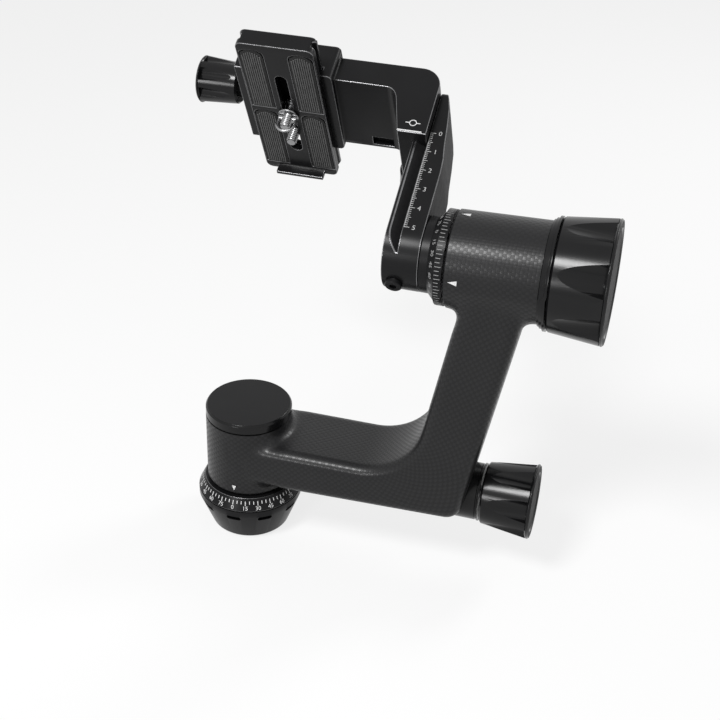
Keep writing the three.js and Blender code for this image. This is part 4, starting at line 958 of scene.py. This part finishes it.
RUBBER = moulded_rubber("black_rubber", 0.008, 0.018)
RIBS = moulded_rubber("rubbed_rubber_ribs", 0.045, 0.11)
for number, (side, low, high) in enumerate(PAD_SPANS, 1):
    middle = PLATE_MIDDLE + side * 14.6
    arched_end = [
        (middle + across, high - drop, radius) for across, drop, radius in (
            (PAD_HALF, 5.5, 0), (6.2, 2.6, 2), (3.4, 0.5, 3), (0, 0, 0), (-3.4, 0.5, 3), (-6.2, 2.6, 2),
            (-PAD_HALF, 5.5, 0))]
    pad = outline(
        [(middle - PAD_HALF, low, 1.2), (middle + PAD_HALF, low, 1.2)] + arched_end, segments=4)
    pad = eased(thickened(pad, PAD_FACE, PAD_BACK), 0.15, sharper_than=60)
    ribs = []
    for rib in range(RIBS_PER_PAD):
        from_middle = (rib - RIBS_PER_PAD // 2) * RIB_PITCH
        x = middle + from_middle
        arch = 5.2 * (from_middle / PAD_HALF) ** 2 + 1.4
        ribs.append(block((x - 0.4, RIB_FACE, low + 1.3), (x + 0.4, PAD_FACE + 0.15, high - arch)))
    ribs = eased(gathered(ribs), 0.12, segments=1)
    for face in ribs.faces:
        face.material_index = RIBBED
    settle(gathered([pad, ribs]), f"ribbed_pad_{number}", "plate", (RUBBER, RIBS),
           (f"grip_pad_{number}",), CRADLE)


# Camera screw: a threaded steel stud that runs in the plate's slot. Its head, with a slot for a coin, and
# a washer sit behind the plate.
CAMERA_SCREW_PLACE = -15
CAMERA_THREAD = 3.17
CAMERA_PITCH = 1.27
INTO_PLATE = Matrix.Rotation(-math.pi / 2, 4, "X")


def through_plate(shape, level):
    """Stands a piece made along z in the plate's slot, its tip in front and its head at the back."""
    shape.transform(Matrix.Translation((PLATE_MIDDLE, 0, level)) @ INTO_PLATE)
    return shape


stud_thread = thread(CAMERA_THREAD, CAMERA_PITCH, depth=0.55, low=72.6, high=82.5)
stud_head = [(3.1, 83), (3.1, 84.2), (6, 84.2), (6, 87.4), (5.6, 87.8), (0, 87.8)]
stud = turned([(0, 72), (2.5, 72)] + stud_thread + stud_head, steps=64)
coin_slot = block((-0.6, -7, 86.4), (0.6, 7, 89))
settle(through_plate(carved(stud, coin_slot), CAMERA_SCREW_PLACE), "camera_stud",
       "camera_screw_turning", (STEEL,), ("camera_screw",), CRADLE)
washer = turned([(3.47, 82.9), (6.2, 82.9), (6.2, 83.9), (3.47, 83.9)], steps=64, closed=True)
settle(through_plate(eased(washer, 0.15), CAMERA_SCREW_PLACE), "camera_washer",
       "camera_screw_carrier", (STEEL,), ("camera_screw_washer",), CRADLE)


# Ring screw: a turned steel screw in the slot, with a threaded nose, a flange and a nut behind the plate.
# A folding wire ring in its eye turns it. Two small stop screws stand in the plate's back.
RING_SCREW_PLACE = 4
EYE_DEPTH = 74.8
WIRE_RADIUS = 0.9
RING_HALF = 5.4
RING_LEG = 3.5

ring_thread = thread(CAMERA_THREAD, CAMERA_PITCH, depth=0.5, low=68.9, high=75.6)
ring_flange = [(3, 76.2), (5.8, 76.2), (6.2, 76.6), (6.2, 77.4), (5.9, 77.7), (3.1, 77.7)]
ring_screw = turned(
    [(0, 68.5), (2.5, 68.5)] + ring_thread + ring_flange + [(3.1, 85.9), (0, 85.9)], steps=72)
ring_screw.transform(INTO_PLATE)
eye = turned([(0, -6), (1.05, -6), (1.05, 6), (0, 6)], steps=24)
eye.transform(Matrix.Translation((0, EYE_DEPTH, 0)) @ ALONG_X)
ring_screw = eased(carved(ring_screw, eye), 0.1)
ring_screw.transform(Matrix.Translation((PLATE_MIDDLE, 0, RING_SCREW_PLACE)))
settle(ring_screw, "ring_screw_body", "ring_screw_turning", (STEEL,), ("ring_screw",), CRADLE)
nut = turned([(3.4, 82.9), (6.2, 82.9), (6.2, 85.9), (3.4, 85.9)], steps=64, closed=True)
settle(through_plate(eased(nut, 0.2), RING_SCREW_PLACE), "ring_screw_washer_nut",
       "ring_screw_carrier", (STEEL,), ("ring_screw_nut",), CRADLE)
wire = bmesh.new()
bmesh.ops.create_circle(wire, cap_ends=True, segments=16, radius=WIRE_RADIUS)
wire.transform(Matrix.Translation((-RING_HALF, 0, 0)) @ Matrix.Rotation(math.pi / 2, 4, "X"))
drawn_out(wire, wire.faces[:], (0, -RING_LEG, 0))
first = [face for face in wire.faces
         if all(abs(vert.co.y + RING_LEG) < NO_DISTANCE for vert in face.verts)]
bow = bmesh.ops.spin(
    wire, geom=first, cent=(0, -RING_LEG, 0), axis=(0, 0, 1), angle=math.pi, steps=24, use_merge=False)
last = [face for face in bow["geom_last"] if isinstance(face, bmesh.types.BMFace)]
drawn_out(wire, last, (0, RING_LEG, 0))
inside = [face for face in first + last if face.is_valid]
bmesh.ops.delete(wire, geom=inside, context="FACES_ONLY")
bmesh.ops.recalc_face_normals(wire, faces=wire.faces)
pin = turned([(0, -RING_HALF), (WIRE_RADIUS, -RING_HALF), (WIRE_RADIUS, RING_HALF), (0, RING_HALF)],
             steps=16)
pin.transform(ALONG_X)
knuckles = []
for x in (-RING_HALF, RING_HALF):
    knuckle = bmesh.new()
    bmesh.ops.create_uvsphere(knuckle, u_segments=16, v_segments=10, radius=WIRE_RADIUS)
    bmesh.ops.translate(knuckle, verts=knuckle.verts, vec=(x, 0, 0))
    knuckles.append(knuckle)
ring = gathered([wire, pin] + knuckles)
ring.transform(Matrix.Translation((PLATE_MIDDLE, EYE_DEPTH, RING_SCREW_PLACE)))
settle(ring, "folding_wire_ring", "folding_ring", (STEEL,), ("d_ring",), CRADLE)
for number, level in enumerate((-46.4, 55), 1):
    screw = socket_screw(head=2.6, tall=1.6, shank=1.8, length=6.5, key=1.2, recess=0.9)
    screw.transform(Matrix.Translation((PLATE_MIDDLE, 90.5, level)) @ INTO_PLATE)
    settle(screw, f"plate_end_screw_{number}", "plate", (STEEL,),
           (f"plate_stop_screw_{number}",), CRADLE)


# Hidden pieces: bearings, shafts, sleeves, screws and brakes keep their own shape. They are turned steel,
# machined aluminium and bronze, with the marks of the lathe.
def machined(name, low, high, rough):
    finish = Finish(name, {"Metallic": 1.0})
    marks = finish.noise(1100.0, 2.0)
    tone = finish.noise(60.0, 2.0)
    finish.wear(Base_Color=finish.between(tone, low, high), Roughness=rough + marks * 0.16)
    return finish.bump(marks, 0.00001, 0.4).material


FINISH_OF_SLOT = {
    "steel": STEEL,
    "bare_alloy": machined("machined_aluminium", (0.5, 0.505, 0.515), (0.62, 0.625, 0.635), 0.3),
    "bronze": machined("machined_bronze", (0.42, 0.28, 0.12), (0.56, 0.39, 0.18), 0.28),
    "anodised_black": SATIN,
    "gloss_black": GLOSS,
    "carbon_fibre": CARBON,
    "rubber": RUBBER,
}
for entry in frame["record"]["subparts"]:
    node_mesh = frame["nodes"][entry["node"]].data
    node_mesh.materials.clear()
    node_mesh.materials.append(FINISH_OF_SLOT[entry["material_slot"]])
